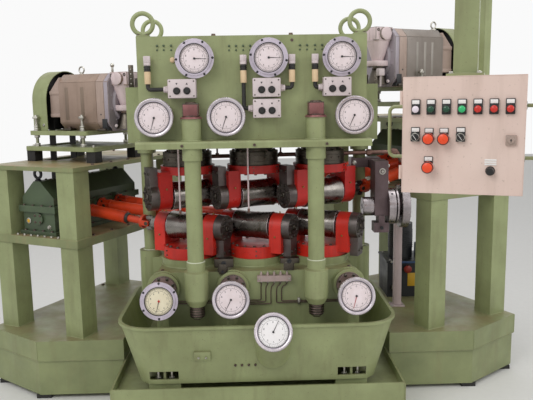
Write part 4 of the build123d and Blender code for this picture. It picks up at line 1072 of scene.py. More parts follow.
@dataclass
class Columns:
    """Stud ends, washers and the pale bead where the columns enter their sockets, its paleness a painted highlight."""

    stud: tuple = ((0, 0), (0.0270, 0), (0.0270, 0.004), (0.0235, 0.008), (0.006, 0.008), (0.003, 0.004), (0, 0.004))
    washer: tuple = ((0.0300, 1.5402), (0.0540, 1.5402), (0.0500, 1.5470), (0.0400, 1.5530), (0.0300, 1.5530))

    def build(self) -> None:
        """Makes the columns' small parts."""
        bright_rings, ends, nuts = Shape("column_joint_highlight"), Shape("column_stud_ends"), Shape("column_nut_skins")
        for x, y in FRONT_COLUMNS:
            bright_rings.hoop(shift(x, y, 0.8415), 0.0425, 0.0034, 48, 8)
            ends.lathe(self.stud, shift(x, y, 1.6105))
            for low in (0.570, 0.583, 0.596, 0.609):
                ends.hoop(shift(x, y, low), 0.0365, 0.0026, 40, 6)
            ends.lathe([(0, 0), (0.022, 0), (0.026, 0.004), (0.026, 0.008), (0, 0.008)], shift(x, y, 0.548))
            nuts.brick((x, y, 1.5815), (0.0736, 0.0736, 0.0584), 0.005)
            nuts.lathe(self.washer, shift(x, y, 0), 48, True)
        for x, y in REAR_COLUMNS:
            bright_rings.hoop(shift(x, y, 0.7915), 0.0375, 0.0034, 48, 8)
            ends.lathe(self.stud, shift(x, y, 1.7595))
            for low in steps(1.7518, 0.0024, 4):
                ends.hoop(shift(x, y, low), 0.0278, 0.0010, 40, 6)
            for low in (1.7025, 1.7475):
                ends.hoop(shift(x, y, low), 0.0478, 0.0020, 48, 6)
        # The bead's pale colour is a painted highlight
        bright_rings.done(PALE_JOINT_HIGHLIGHT)
        nuts.done(NUT_BROWN)
        ends.done(BROWN_STEEL)


@dataclass
class Rolls:
    """Bright rims, bearing cap screws, yoke bolts and nipples of the six roll sets."""

    cap_face: float = 0.226
    ring_face: float = -0.198
    joint: float = -0.260
    # Height of the yoke's plate and of its rim's middle, of a lower and an upper set
    plate_tops: tuple = (-0.097, -0.115)
    plate_rims: tuple = (-0.127, -0.136)

    def build(self) -> None:
        """Makes the pieces of each roll set."""
        for name, index, upper in ROLL_SETS:
            place = roll_frame(index, upper)
            self.roll(name, place)
            self.caps(name, place)
            self.yoke(name, place, upper)

    def roll(self, name: str, place: Matrix) -> None:
        """Turns bright rims and grooves on one roll and sets its coupling bolts and joint cups."""
        body, along_x = "roll_" + name, place @ rotate(90, "Y")
        rims = Shape("rims_" + name, along_x)
        for side in SIDES:
            rims.hoop(shift(0, 0, side * 0.1040), 0.0744, 0.0014, 64, 8)
            for r in (0.0560, 0.0380):
                rims.hoop(shift(0, 0, side * 0.1050), r, 0.0011, 48, 6)
        rims.done(RIM_STEEL, body)
        bolts = Shape("roll_bolts_" + name, along_x)
        bolts.bolts([(x, y, -0.204) for x, y in around(0.0352, 6, 30)], UP, 0.0042)
        for side in SIDES:
            bolts.lathe([(0, 0), (0.0115, 0), (0.0115, 0.0032), (0.0098, 0.0044), (0.006, 0.0036), (0, 0.0036)],
                        shift(-side * 0.0368, 0, self.joint) @ rotate(-side * 90, "Y"), 28)
        bolts.done(OILY_STEEL, body)

    def caps(self, name: str, place: Matrix) -> None:
        """Screws the two bearing caps of one roll."""
        caps = Shape("cap_screws_" + name, place)
        caps.bolts([(self.cap_face, y, z) for y, z in around(0.0540, 8, 22.5)], RIGHT, 0.0080)
        caps.bolts(grid(self.cap_face, (-0.024, 0.024), -0.125), RIGHT, 0.0080)
        caps.bolts([(self.ring_face, y, z) for y, z in around(0.0405, 6)], LEFT, 0.0045, Head.SOCKET)
        caps.done(OILY_STEEL)
        rings = Shape("cap_rings_" + name, place @ rotate(90, "Y"))
        rings.ring(0.0325, 0.0370, 0.2262, 0.2290, sides=48)
        rings.lathe([(0, 0.2262), (0.0170, 0.2262), (0.0170, 0.2320), (0.0150, 0.2345), (0.0070, 0.2345),
                     (0.0055, 0.2310), (0, 0.2310)], sides=36)
        rings.hoop(shift(0, 0, 0.1835), 0.0700, 0.0016, 64, 6)
        rings.done(OILY_STEEL)

    def yoke(self, name: str, place: Matrix, upper: bool) -> None:
        """Bolts one yoke's turntable plate and sets nipples and plugs on its arms."""
        top, rim = self.plate_tops[upper], self.plate_rims[upper]
        bolts = Shape("yoke_bolts_" + name, place)
        for angle in (42, 66, 90, 114, 138):
            t = math.radians(angle)
            bolts.bolts([(0.124 * math.cos(t), side * 0.124 * math.sin(t), top) for side in SIDES], UP, 0.0080)
        for angle in (-118, -62, 62, 118):
            dx, dy = math.cos(math.radians(angle)), math.sin(math.radians(angle))
            bolts.bolts([(0.1418 * dx, 0.1418 * dy, rim + dz) for dz in (-0.012, 0.012)], (dx, dy, 0), 0.0050,
                        Head.SOCKET)
        bolts.done(BROWN_STEEL)
        small = Shape("yoke_nipples_" + name, place)
        for x in (-0.148, 0.148):
            small.bolt((x, 0, 0.0698), UP, 0.0055, Head.NIPPLE)
            for side in SIDES:
                small.bolt((x, side * 0.0698, -0.045), (0, side, 0), 0.0060, Head.SOCKET)
        small.done(BRASS)
        welds = Shape("yoke_fillets_" + name, place)
        for x in (-0.183, 0.183):
            welds.weld((x, -0.070, top + 0.001), (x, 0.070, top + 0.001), THIN_BEAD)
        # Upper yokes take the deeper red with painted shade
        welds.done(YOKE_RED_SHADED if upper else YOKE_RED)


@dataclass
class CardanShafts:
    """Bolts, joint cups, seals and weld rings of the six cardan shafts."""

    joint: float = 0.260
    out_z: float = 1.016
    face_u: float = -1.051
    fork: float = 0.048
    cross: float = 0.061

    def frame(self, index: int, upper: bool) -> tuple[Matrix, float]:
        """Gives a shaft's frame at its roll-side joint, X towards the roll, and the shaft's length."""
        c, s = math.cos(math.radians(SKEW)), math.sin(math.radians(SKEW))
        side = 1 if upper else -1
        x = (index - 1) * ROLL_PITCH
        near = Vector((x + side * self.joint * c, self.joint * s, PASS_Z + side * AXIS_DROP))
        far = stand_point(self.face_u, -side * x * s, self.out_z + (RIGHT_RISE if upper else 0), upper)
        ahead = (near - far).normalized()
        up = ahead.cross(Vector((0, 0, 1))).cross(ahead).normalized()
        turn = Matrix((ahead, up.cross(ahead), up)).transposed().to_4x4()
        return Matrix.Translation(near) @ turn, (near - far).length

    def build(self) -> None:
        """Dresses each shaft."""
        for name, index, upper in ROLL_SETS:
            place, length = self.frame(index, upper)
            tail, spline, body = -length, -self.fork - 0.22 * length, "cardan_" + name
            bolts = Shape("shaft_bolts_" + name, place)
            bolts.bolts([(tail + 0.034, y, z) for y, z in around(0.0330, 4, 45)], RIGHT, 0.0060)
            bolts.bolts([(-self.fork, y, z) for y, z in around(0.0310, 4, 45)], LEFT, 0.0055)
            far = tail + self.cross
            for side in SIDES:
                bolts.drum((0, side * 0.0368, 0), (0, side * 0.0400, 0), 0.0110, 24, 0.0008)
                bolts.drum((far, side * 0.0338, 0), (far, side * 0.0368, 0), 0.0105, 24, 0.0008)
                bolts.drum((far, 0, side * 0.0338), (far, 0, side * 0.0368), 0.0105, 24, 0.0008)
            bolts.bolt((-self.fork - 0.12 * length, 0, 0.0202), UP, 0.0042, Head.NIPPLE)
            bolts.done(OILY_STEEL, body)
            along_x = place @ rotate(90, "Y")
            welds = Shape("shaft_welds_" + name, along_x)
            for x in (spline - 0.006, tail + 0.102):
                welds.hoop(shift(0, 0, x), 0.0330, 0.0024, 48, 8)
            for x in (-0.052, tail + 0.094):
                welds.hoop(shift(0, 0, x), 0.0225, 0.0024, 40, 8)
            welds.done(SHAFT_ORANGE, body)
            seal = Shape("shaft_seal_" + name, along_x)
            seal.lathe([(0.0206, spline + 0.001), (0.0300, spline + 0.001), (0.0300, spline + 0.007),
                        (0.0235, spline + 0.016), (0.0206, spline + 0.016)], sides=40, closed=True)
            seal.done(RUBBER, body)


@dataclass
class Bed:
    """Clamp blocks, cover screws, deck bolts and the lubrication pipes of the bed."""

    front: float = -0.225
    deck: float = 0.765
    cap_face: float = -0.264
    worms: tuple = (-0.470, -0.120, 0.470)
    worm_z: float = 0.690
    outlets: tuple = (0.024, 0.057, 0.090, 0.123, 0.156)
    drops: tuple = (0.022, 0.046, 0.072, 0.101, 0.126)
    # Where each lubrication pipe turns up, its lowest run and its end
    ends: tuple = ((-0.418, 0.614, 0.633), (-0.432, 0.604, 0.625), (-0.076, 0.593, 0.628), (0.418, 0.598, 0.633),
                   (0.432, 0.606, 0.628))
    # Middle, size and rounding of the blocks
    blocks: tuple = (((-0.1635, -0.215, 0.811), (0.097, 0.046, 0.044), 0.003),
                     ((-0.1705, -0.236, 0.782), (0.037, 0.022, 0.052), 0.002),
                     ((-0.1705, -0.215, 0.778), (0.050, 0.040, 0.028), 0.002),
                     ((0.1715, -0.215, 0.8165), (0.097, 0.046, 0.026), 0.003),
                     ((0.1665, -0.230, 0.792), (0.041, 0.020, 0.036), 0.002),
                     ((0.1665, -0.212, 0.784), (0.052, 0.036, 0.040), 0.002))

    def build(self) -> None:
        """Makes the bed's small parts."""
        self.clamps()
        self.covers()
        self.pipes()
        bolts = Shape("bed_bolts")
        bolts.bolts(grid((-0.478, -0.175, 0.175, 0.478), (-0.190, 0.205), self.deck), UP, 0.010)
        for x in (-0.420, -0.300, -0.180, -0.060, 0.060, 0.180, 0.300, 0.420):
            bolts.bolts([(x, 0.264, 0.520), (x, 0.235, 0.700)], BACK, 0.010)
        bolts.done(BROWN_STEEL)
        self.welds()

    def welds(self) -> None:
        """Runs the welds of the roll seats, the column sockets and the worm bosses."""
        beads, face = Shape("bed_welds"), self.front - 0.001
        for x in (-0.350, 0.0, 0.350):
            beads.hoop(shift(x, 0, self.deck + 0.001), 0.1530, 0.0045, 72, 6)
        for x, _ in FRONT_COLUMNS:
            edges = (x - 0.047, x + 0.047)
            for edge in edges:
                beads.weld((edge, -0.300, 0.650), (edge, -0.227, 0.650), THIN_BEAD)
            for edge in edges:
                beads.weld((edge, face, 0.652), (edge, face, 0.758), THIN_BEAD)
        for x in self.worms:
            beads.hoop(facing(x, face, self.worm_z), 0.0810, 0.0045, 64, 6)
        beads.done(SAGE)

    def clamps(self) -> None:
        """Bolts the two dark clamp blocks to the deck's front edge."""
        blocks = Shape("clamp_blocks")
        for centre, size, edge in self.blocks:
            blocks.brick(centre, size, edge)
        blocks.done(OILY_STEEL)
        holes = Shape("clamp_screws")
        for x, z in ((-0.1640, 0.811), (0.1670, 0.8165)):
            holes.lathe([(0, 0), (0.0125, 0), (0.0125, 0.004), (0.0105, 0.006), (0.0065, 0.006), (0.0065, 0.001),
                         (0, 0.001)], facing(x, -0.238, z), 28)
        holes.bolt((-0.1705, -0.247, 0.770), FRONT, 0.008, Head.SOCKET)
        holes.done(PACK_BLACK)

    def covers(self) -> None:
        """Screws the dark round covers of the worm shafts."""
        screws, rings = Shape("worm_cover_screws"), Shape("worm_cover_rings")
        for x in self.worms:
            spots = [(x + dx, self.cap_face, self.worm_z + dz) for dx, dz in around(0.0545, 8, 22.5)]
            screws.bolts(spots, FRONT, 0.0070)
            rings.hoop(facing(x, self.cap_face, self.worm_z), 0.0640, 0.0014, 64, 6)
        screws.done(OILY_STEEL)
        rings.done(OILY_STEEL)

    def pipes(self) -> None:
        """Leads thin brown pipes from the manifold to the worm bosses."""
        nipples, y = Shape("manifold_nipples"), self.front - 0.013
        for x in self.outlets:
            nipples.bolt((x, y, 0.7575), UP, 0.0048, Head.NIPPLE)
            nipples.drum((x, y, 0.706), (x, y, 0.7145), 0.0062, 6, 0.0006)
        nipples.bolts(grid((0.014, 0.166), self.front - 0.026, 0.729), FRONT, 0.0055, Head.SOCKET)
        nipples.done(ZINC)
        pipes, y = Shape("lubrication_pipes"), self.front - 0.009
        for x0, x, (x1, z, top) in zip(self.outlets, self.drops, self.ends):
            side = 1 if x1 > x else -1
            route = ((x0, 0.708), (x0, 0.694), (x, 0.682), (x, z + 0.012), (x, z), (x + side * 0.012, z),
                     (x1 - side * 0.012, z), (x1, z), (x1, z + 0.012), (x1, top))
            pipes.pipe([(px, y, pz) for px, pz in route], 0.0028)
        pipes.done(BROWN_STEEL)
        clips = Shape("pipe_clips")
        for x in (-0.300, -0.215, 0.215, 0.330):
            clips.brick((x, y + 0.004, 0.604), (0.014, 0.016, 0.036), 0.002)
        clips.done(ZINC)


@dataclass
class Trays:
    """Pad, plugs, levelling bolts and welds of the oil tray and the drip tray."""

    low: float = 0.226
    foot_y: float = -0.350
    slope: float = 0.055 / 0.313
    plugs: tuple = (-0.114, -0.081, -0.047, -0.014)
    windows: tuple = (-0.470, 0.470)
    bolt_y: float = -0.318

    def wall(self, x: float, z: float) -> Matrix:
        """Gives a frame on the tray's sloped front, Z out of the wall and Y up along it."""
        return facing(x, self.foot_y - self.slope * (z - self.low), z, -math.degrees(math.atan(self.slope)))

    def build(self) -> None:
        """Makes the trays' small parts."""
        Shape("tray_pad", self.wall(-0.2755, 0.383)).brick((0, 0, 0.004), (0.083, 0.048, 0.016), 0.0035).done(SAGE)
        screws = Shape("tray_pad_screws", self.wall(-0.2755, 0.378))
        screws.bolts(grid((-0.018, 0.019), 0, 0.0118), UP, 0.0068, Head.SOCKET).done(ZINC)
        plugs = Shape("tray_plugs")
        for x in self.plugs:
            plugs.place = self.wall(x, 0.3235)
            plugs.bolt((0, 0, -0.001), UP, 0.0078, Head.SOCKET)
        plugs.done(BROWN_STEEL)
        self.levelling()
        welds = Shape("tray_welds")
        for x in self.windows:
            welds.weld((x - 0.080, -0.3405, 0.2265), (x + 0.080, -0.3405, 0.2265), THIN_BEAD)
        for x, y in grid((-0.735, 0.735), (-0.3855, 0.4605)):
            welds.weld((x, y, 0.002), (x, y, 0.213), 0.0030)
        welds.done(SAGE)

    def levelling(self) -> None:
        """Sets the levelling bolts and brackets that show in the skirt windows."""
        bolts, plates, y = Shape("levelling_bolts"), Shape("window_brackets"), self.bolt_y
        for window in self.windows:
            for x in (window - 0.034, window + 0.034):
                bolts.drum((x, y, 0.226), (x, y, 0.286), 0.0075, 24)
                bolts.drum((x, y, 0.240), (x, y, 0.254), 0.0150, 6, 0.001)
                bolts.lathe([(0, 0.2362), (0.0180, 0.2362), (0.0180, 0.2400), (0, 0.2400)], shift(x, y, 0), 28)
            plates.brick((window, y, 0.2865), (0.120, 0.030, 0.008), 0.001)
        bolts.done(ZINC)
        plates.done(KERB_GREEN, slot="dark_green_enamel")


@dataclass
class Plinths:
    """Weld seams and bolts of the two plinths and of the stands' legs and tables."""

    leg: float = 0.120
    u: tuple = (-1.466, -0.986)
    v: tuple = (-0.416, 0.514)
    plinth_top: float = 0.334
    seam: float = 0.221
    mid: float = 0.886
    mid_under: float = 0.840
    upper: float = 1.281
    upper_under: float = 1.257

    def build(self) -> None:
        """Makes the small parts of both sides."""
        for side, right in STANDS:
            place, rise = stand_frame(right, 0), RIGHT_RISE if right else 0
            self.leg_welds(side, place, rise)
            self.table_bolts(side, place, rise)
            self.seams(side, right)

    def leg_welds(self, side: str, place: Matrix, rise: float) -> None:
        """Welds each leg to what it stands on and to the table above it."""
        beads = Shape("leg_welds_" + side, place)
        levels = (self.plinth_top, self.mid_under + rise, self.mid + rise, self.upper_under + rise)
        for u, v in grid(self.u, self.v):
            for z in levels:
                beads.weld_round((u, u + self.leg), (v, v + self.leg), z, BEAD)
        beads.done(SAGE)

    def table_bolts(self, side: str, place: Matrix, rise: float) -> None:
        """Sets bolts along the tables' edges and round the motor's rubber blocks."""
        mid, upper = self.mid + rise, self.upper + rise
        pale = Shape("table_edge_bolts_" + side, place)
        pale.bolts(grid(steps(-1.315, 0.05, 7), (-0.396, 0.600), mid), UP, 0.0095).done(ZINC)
        bolts = Shape("table_bolts_" + side, place)
        for i in range(5):
            bolts.bolts([(-0.885, -0.26 + 0.16 * i, mid), (-0.882, -0.24 + 0.16 * i, upper)], UP, 0.0085)
        bolts.bolts(grid((-1.40, -1.166, -0.93), 0.600, upper), UP, 0.0085)
        bolts.bolts(grid((-1.455, -0.900), (-0.29, 0.12, 0.47), self.plinth_top), UP, 0.011)
        bolts.done(BROWN_STEEL)

    def seams(self, side: str, right: bool) -> None:
        """Runs the plinth's weld seams along its step and up its corners."""
        beads = Shape("plinth_seams_" + side, MIRROR if right else Matrix())
        corners = [tuple(stand_point(u, v, 0))[:2] for u, v in ((-1.486, -0.478), (-1.486, 0.654), (-0.806, 0.654))]
        spots = [(-0.735, -0.008), (-1.210, -0.008), *corners]
        for start, end in zip(spots, spots[1:]):
            beads.weld((*start, self.seam), (*end, self.seam), 0.0022)
        for spot in spots[1:4]:
            beads.weld((*spot, self.seam + 0.002), (*spot, self.plinth_top - 0.002), 0.0026)
        beads.done(PLINTH_GREEN)


@dataclass
class Gearboxes:
    """Flange bolts, boss covers, eye bolts and oil fittings of the two gearboxes."""

    u0: float = -1.318
    u1: float = -1.051
    v0: float = -0.375
    v1: float = 0.397
    split_top: float = 1.052
    foot_top: float = 0.908
    roof: float = 1.190
    middle: float = -1.1845

    def build(self) -> None:
        """Makes the small parts of both gearboxes."""
        shafts = CardanShafts()
        for side, right in STANDS:
            place = stand_frame(right)
            self.bolts(side, place)
            self.fittings(side, place)
            for i, name in enumerate(NAMES):
                self.boss(f"{side}_{name}", *shafts.frame(i, right))

    def bolts(self, side: str, place: Matrix) -> None:
        """Bolts the split flange and the foot all round."""
        bolts = Shape("gearbox_bolts_" + side, place)
        for z, size, count in ((self.split_top, 0.0085, 10), (self.foot_top, 0.0095, 6)):
            for i in range(count):
                v = self.v0 + 0.045 + (self.v1 - self.v0 - 0.09) * i / (count - 1)
                bolts.bolts(grid((self.u0 + 0.0088, self.u1 - 0.0088), v, z), UP, size)
            for i in range(4):
                u = self.u0 + 0.035 + (self.u1 - self.u0 - 0.07) * i / 3
                bolts.bolts(grid(u, (self.v0 + 0.0078, self.v1 - 0.0078), z), UP, size * 0.85)
        cover = [(self.middle + du, self.v0 + 0.004, 0.978 + dz) for du, dz in around(0.0260, 4, 45)]
        bolts.bolts(cover, FRONT, 0.0060)
        for v in (-0.27, -0.09, 0.09, 0.27):
            bolts.bolts(grid((self.middle - 0.016, self.middle + 0.016), v, self.roof), UP, 0.0065)
        bolts.done(BROWN_STEEL)

    def fittings(self, side: str, place: Matrix) -> None:
        """Adds eye bolts, the breather, the oil level glass and the drain plug."""
        eyes = Shape("gearbox_eyes_" + side, place)
        for u, v, r in ((self.middle - 0.008, -0.338, 0.0240), (self.middle, 0.335, 0.0190)):
            eyes.lathe([(0, 0), (0.018, 0), (0.018, 0.006), (0.010, 0.012), (0, 0.012)], shift(u, v, self.roof), 28)
            eyes.hoop(facing(u, v, self.roof + r + 0.016), r, r * 0.34, 36, 10)
        eyes.drum((self.middle, 0.02, self.roof), (self.middle, 0.02, self.roof + 0.030), 0.011, 24)
        eyes.lathe([(0, 0.028), (0.021, 0.028), (0.021, 0.046), (0.017, 0.052), (0, 0.052)],
                   shift(self.middle, 0.02, self.roof), 32)
        eyes.done(PACK_BLACK)
        oil = Shape("gearbox_oil_fittings_" + side, place)
        end = facing(self.u0 + 0.056, self.v0 + 0.016, 0.962)
        oil.lathe([(0.0115, 0), (0.0175, 0), (0.0175, 0.004), (0.0150, 0.0055), (0.0115, 0.0055)], end, 32, True)
        oil.bolt((self.u1 - 0.060, self.v0 + 0.016, 0.932), FRONT, 0.0110)
        oil.done(ZINC, slot="brown_steel")
        glass = Shape("gearbox_level_glass_" + side, place)
        glass.lathe([(0, 0.0005), (0.0115, 0.0005), (0.0115, 0.0030), (0, 0.0036)], end, 28).done(PACK_YELLOW)

    def boss(self, name: str, place: Matrix, length: float) -> None:
        """Rings one output boss with its seal and screws."""
        face = -length + 0.012
        ring = Shape("boss_ring_" + name, place @ rotate(90, "Y"))
        ring.lathe([(0.0215, face), (0.0440, face), (0.0440, face + 0.0028), (0.0300, face + 0.0040),
                    (0.0215, face + 0.0030)], sides=48, closed=True)
        ring.done(OILY_STEEL)
        spots = [(face + 0.0032, y, z) for y, z in around(0.0375, 6, 30)]
        Shape("boss_screws_" + name, place).bolts(spots, RIGHT, 0.0048, Head.SOCKET).done(BROWN_STEEL)


@dataclass
class Motors:
    """Panels, blower skins, fittings and fixings of the two motors and their belt guards."""

    v: float = 0.048
    axis: float = 1.622
    half: float = 0.161
    u0: float = -1.209
    u1: float = -0.850
    seam: float = -0.935
    lilac: float = -0.880
    blower_u: float = -0.800
    blower_v: float = -0.020
    feet_u: tuple = (-1.155, -0.900)
    screw_u: tuple = (-1.364, -1.016)
    screw_v: float = 0.196
    # Foot, top, radius, sides and chamfer of the nuts and washers on each tension screw
    nuts: tuple = ((1.3702, 1.3732, 0.0205, 32, 0.0006), (1.3732, 1.3880, 0.0165, 6, 0.0012),
                   (1.4200, 1.4340, 0.0165, 6, 0.0012), (1.4340, 1.4360, 0.0205, 32, 0.0006),
                   (1.4612, 1.4642, 0.0205, 32, 0.0006), (1.4642, 1.4790, 0.0165, 6, 0.0012),
                   (1.4812, 1.4910, 0.0165, 6, 0.0012), (1.4900, 1.5540, 0.0092, 20, 0.001),
                   (1.5320, 1.5440, 0.0215, 6, 0.0012))
    arch_foot: float = -0.170

    def build(self) -> None:
        """Makes the small parts of both motors."""
        for side, right in STANDS:
            place = stand_frame(right)
            self.skin(side, place, right)
            self.blower(side, place, right)
            self.fixings(side, place, right)
            self.guard(side, place)
            self.slide(side, place)

    def skin(self, side: str, place: Matrix, right: bool) -> None:
        """Lays the painted panels round the body, the greyer one at its end and the bands of older paint."""
        finish, back = MOTOR_COOL if right else MOTOR_WARM, self.v + self.half
        for name, u0, u1, coat in (("panels", self.u0, self.seam, finish),
                                   ("rear_panels", self.seam, self.lilac, MOTOR_TAN),
                                   ("end_panels", self.lilac, self.u1, MOTOR_END)):
            skin = Shape(f"motor_{name}_{side}", place)
            for i in range(8):
                flat, far = (2 * self.half - 0.092, self.half) if i % 2 == 0 else (0.065, 0.1952)
                skin.place = place @ shift((u0 + u1) / 2, self.v, self.axis) @ rotate(45 * i, "X")
                skin.brick((0, 0, far + 0.0006), (u1 - u0 - 0.003, flat - 0.003, 0.0034), 0.0012)
            skin.place = place
            if name == "rear_panels":
                self.end_shields(skin)
            skin.done(coat)
        bands = Shape("motor_bands_" + side, place)
        wide = 0.016 if right else 0.026
        for u in ((-1.012, -1.070, -1.125) if right else (-1.150, -1.035)):
            for out in SIDES:
                bands.brick((u, self.v + out * (self.half + 0.0022), self.axis - 0.005), (wide, 0.0012, 0.186), 0.0004)
        bands.done(BAND_PALE if right else BAND_WARM)
        box = Shape("motor_terminal_box_" + side, place)
        box.brick((-1.090, back + 0.034, self.axis + 0.030), (0.150, 0.068, 0.120), 0.004)
        box.brick((-1.090, back + 0.072, self.axis + 0.030), (0.160, 0.010, 0.130), 0.003)
        box.drum((-1.140, back + 0.034, self.axis - 0.030), (-1.140, back + 0.034, self.axis - 0.052), 0.016, 6, 0.001)
        box.done(finish)

    def end_shields(self, skin: Shape) -> None:
        """Stands the nose's two plates with their lugs before the body."""
        nose = -1.283
        for far in (-0.030, 0.204):
            skin.prism([(self.u0, -0.080), (nose, -0.080), (nose, 0.066), (self.u0, 0.148)], 0.078,
                       facing(0, far, self.axis), 0.003)
            for dz in (-0.072, 0.058):
                skin.brick((-1.246, far - 0.039, self.axis + dz), (0.074, 0.086, 0.022), 0.003)

    def blower(self, side: str, place: Matrix, right: bool) -> None:
        """Adds the end plate's ring, the blower's pale funnel, inlet box, cover and flange and its dark cone."""
        end = Shape("motor_end_ring_" + side, place @ shift(self.u1, self.v, self.axis) @ rotate(90, "Y"))
        end.lathe([(0, 0.0005), (0.1292, 0.0005), (0.1186, 0.0148), (0, 0.0148)], sides=72)
        end.bolts([(x, y, 0.0020) for x, y in around(0.1400, 12, 15)], UP, 0.0050)
        far, near = 0.1600, 0.1145
        end.place = place @ shift(self.u1, self.v, self.axis) @ UPRIGHT
        end.prism([(far, -near), (far, near), (near, far), (-near, far), (-far, near), (-far, -near), (-near, -far),
                   (near, -far)], 0.0020, shift(0, 0, 0.0002))
        end.done(MOTOR_END)
        middle = place @ shift(self.blower_u, self.blower_v, self.axis)
        pale = Shape("blower_skin_" + side, middle)
        pale.lathe([(0.0302, -0.0176), (0.0316, -0.0176), (0.0672, 0.0920), (0.0700, 0.0935), (0.0700, 0.0975),
                    (0.0630, 0.0975), (0.0630, 0.0860)], sides=64, closed=True)
        pale.lathe([(0.0300, -0.0474), (0.0590, -0.0474), (0.0612, -0.0440), (0.0612, -0.0200), (0.0590, -0.0168),
                    (0.0300, -0.0168)], sides=64, closed=True)
        pale.brick((0.0002, 0, 0.1318), (0.1206, 0.1212, 0.0728), 0.005)
        for y in (-0.040, 0, 0.040):
            pale.brick((0.0618, y, 0.1318), (0.0040, 0.0060, 0.0640), 0.0015)
        pale.lathe([(0, 0.0002), (0.0335, 0.0002), (0.0350, 0.0016), (0.0350, 0.0060), (0.0300, 0.0085),
                    (0.0180, 0.0100), (0, 0.0105)], facing(0, -0.0742, 0.131), 48)
        pale.done(PALE_METAL)
        dark = Shape("blower_cone_" + side, middle)
        dark.lathe([(0.0305, -0.0600), (0.0315, -0.0600), (0.0612, -0.1485), (0.0600, -0.1495)], sides=64, closed=True)
        dark.ring(0.0560, 0.0605, -0.0480, -0.0510, sides=64)
        for dx in (-0.046, -0.008, 0.044):
            dark.ring(0.0040, 0.0085, 0, 0.0030, facing(dx, -0.0606, 0.164 - 0.012), 20)
        dark.done(OILY_STEEL)
        square, front = Shape("motor_dark_plate_" + side, place), self.v - self.half
        square.brick((self.lilac, front - 0.0030, self.axis - 0.118), (0.036, 0.0030, 0.050), 0.0008)
        square.brick((self.lilac, front + 0.022, self.axis - 0.1500), (0.036, 0.0400, 0.0210), 0.001)
        square.lathe([(0, 0), (0.0045, 0), (0.0045, 0.0008), (0, 0.0008)],
                     facing(-0.905, front - 0.0024, self.axis - 0.068), 20)
        square.done(PACK_BLACK)
        box = Shape("blower_small_parts_" + side, place)
        if right:
            u, v = self.blower_u + 0.030, self.blower_v - 0.066
            box.brick((u, v, self.axis - 0.082), (0.040, 0.026, 0.040), 0.002)
            box.drum((u, v, self.axis - 0.161), (u, v, self.axis - 0.102), 0.0055, 20)
        box.bolt((self.blower_u - 0.026, self.blower_v - 0.0615, self.axis - 0.132), FRONT, 0.0085)
        box.done(BOX_GREY, slot="motor_grey")

    def fixings(self, side: str, place: Matrix, right: bool) -> None:
        """Adds the eye bolt, the grease fitting, the feet and the tie bolts."""
        steel = Shape("motor_fixings_" + side, place)
        top = self.axis + self.half + 0.0022
        u, v = (-1.190, -0.048) if right else (-1.168, self.v)
        steel.hoop(facing(u, v, top + 0.030), 0.0185, 0.0046, 32, 10)
        steel.lathe([(0, 0), (0.016, 0), (0.016, 0.005), (0.008, 0.012), (0, 0.012)], shift(u, v, top), 28)
        if not right:
            u = -0.938
            steel.bolt((u, self.v, top), UP, 0.0120)
            steel.drum((u, self.v, top + 0.010), (u, self.v, top + 0.046), 0.0070, 24, 0.001)
            steel.ball((u, self.v, top + 0.050), 0.0125)
        steel.done(ZINC)
        ties = Shape("motor_tie_bolts_" + side, place)
        corners = grid(self.u0, (self.v - 0.128, self.v + 0.128), (self.axis - 0.128, self.axis + 0.128))
        ties.bolts(corners, LEFT, 0.0080)
        ties.bolts(grid(self.feet_u, (self.v - 0.148, self.v + 0.148), 1.4745), UP, 0.0095)
        ties.done(BROWN_STEEL)
        feet = Shape("motor_feet_" + side, place)
        for u in self.feet_u:
            feet.brick((u, self.v, 1.4685), (0.060, 0.350, 0.012), 0.002)
        feet.done(OILY_STEEL)

    def arch(self, r: float, way: int = 1) -> list[tuple[float, float]]:
        """Outlines an arch of radius r on straight legs, anticlockwise or, with way -1, clockwise."""
        turns = [math.pi * i / 24 for i in range(25)]
        return [(way * r, self.arch_foot), *[(way * r * math.cos(t), r * math.sin(t)) for t in turns],
                (-way * r, self.arch_foot)]

    def guard(self, side: str, place: Matrix) -> None:
        """Puts a thin black arch and a black back sheet inside the belt guard, and screws the guard on."""
        arch = place @ shift(0, self.v, self.axis + 0.011) @ UPRIGHT
        black_inside = Shape("guard_black_inside_" + side, arch)
        black_inside.prism(self.arch(0.1746) + self.arch(0.1732, -1), 0.102, shift(0, 0, -1.3975))
        black_inside.prism(self.arch(0.1746), 0.0010, shift(0, 0, -1.3985))
        black_inside.done(PACK_BLACK)
        screws, out = Shape("guard_screws_" + side, arch), -1.402
        turns = [math.pi * i / 6 for i in range(7)]
        spots = [(0.162 * math.cos(t), 0.162 * math.sin(t), out) for t in turns]
        spots += [(x, y, out) for y in (-0.05, -0.13) for x in (-0.162, 0.162)]
        screws.bolts(spots, DOWN, 0.0060, Head.PAN)
        for x in SIDES:
            screws.bolts(grid(x * 0.178, -0.140, (-1.375, -1.322)), (x, 0, 0), 0.0080)
        screws.done(ZINC)
        rim = Shape("guard_rim_" + side, arch)
        rim.prism(self.arch(0.1792) + self.arch(0.1750, -1), 0.0050, shift(0, 0, -1.2985)).done(SAGE)

    def slide(self, side: str, place: Matrix) -> None:
        """Sets nuts and washers on the tension screws, cuts their threads and bolts the rubber blocks."""
        nuts = Shape("slide_nuts_" + side, place)
        for u, v in grid(self.screw_u, (self.v - self.screw_v, self.v + self.screw_v)):
            for low, high, radius, sides, chamfer in self.nuts:
                nuts.drum((u, v, low), (u, v, high), radius, sides, chamfer)
            for low, count, radius in ((1.3910, 14, 0.0088), (1.4930, 18, 0.0092)):
                for z in steps(low, 0.0021, count):
                    nuts.hoop(shift(u, v, z), radius, 0.0009, 20, 4)
        nuts.bolts(grid((-1.402, -0.951), (-0.139, 0.235), 1.3702), UP, 0.0100)
        nuts.done(ZINC)


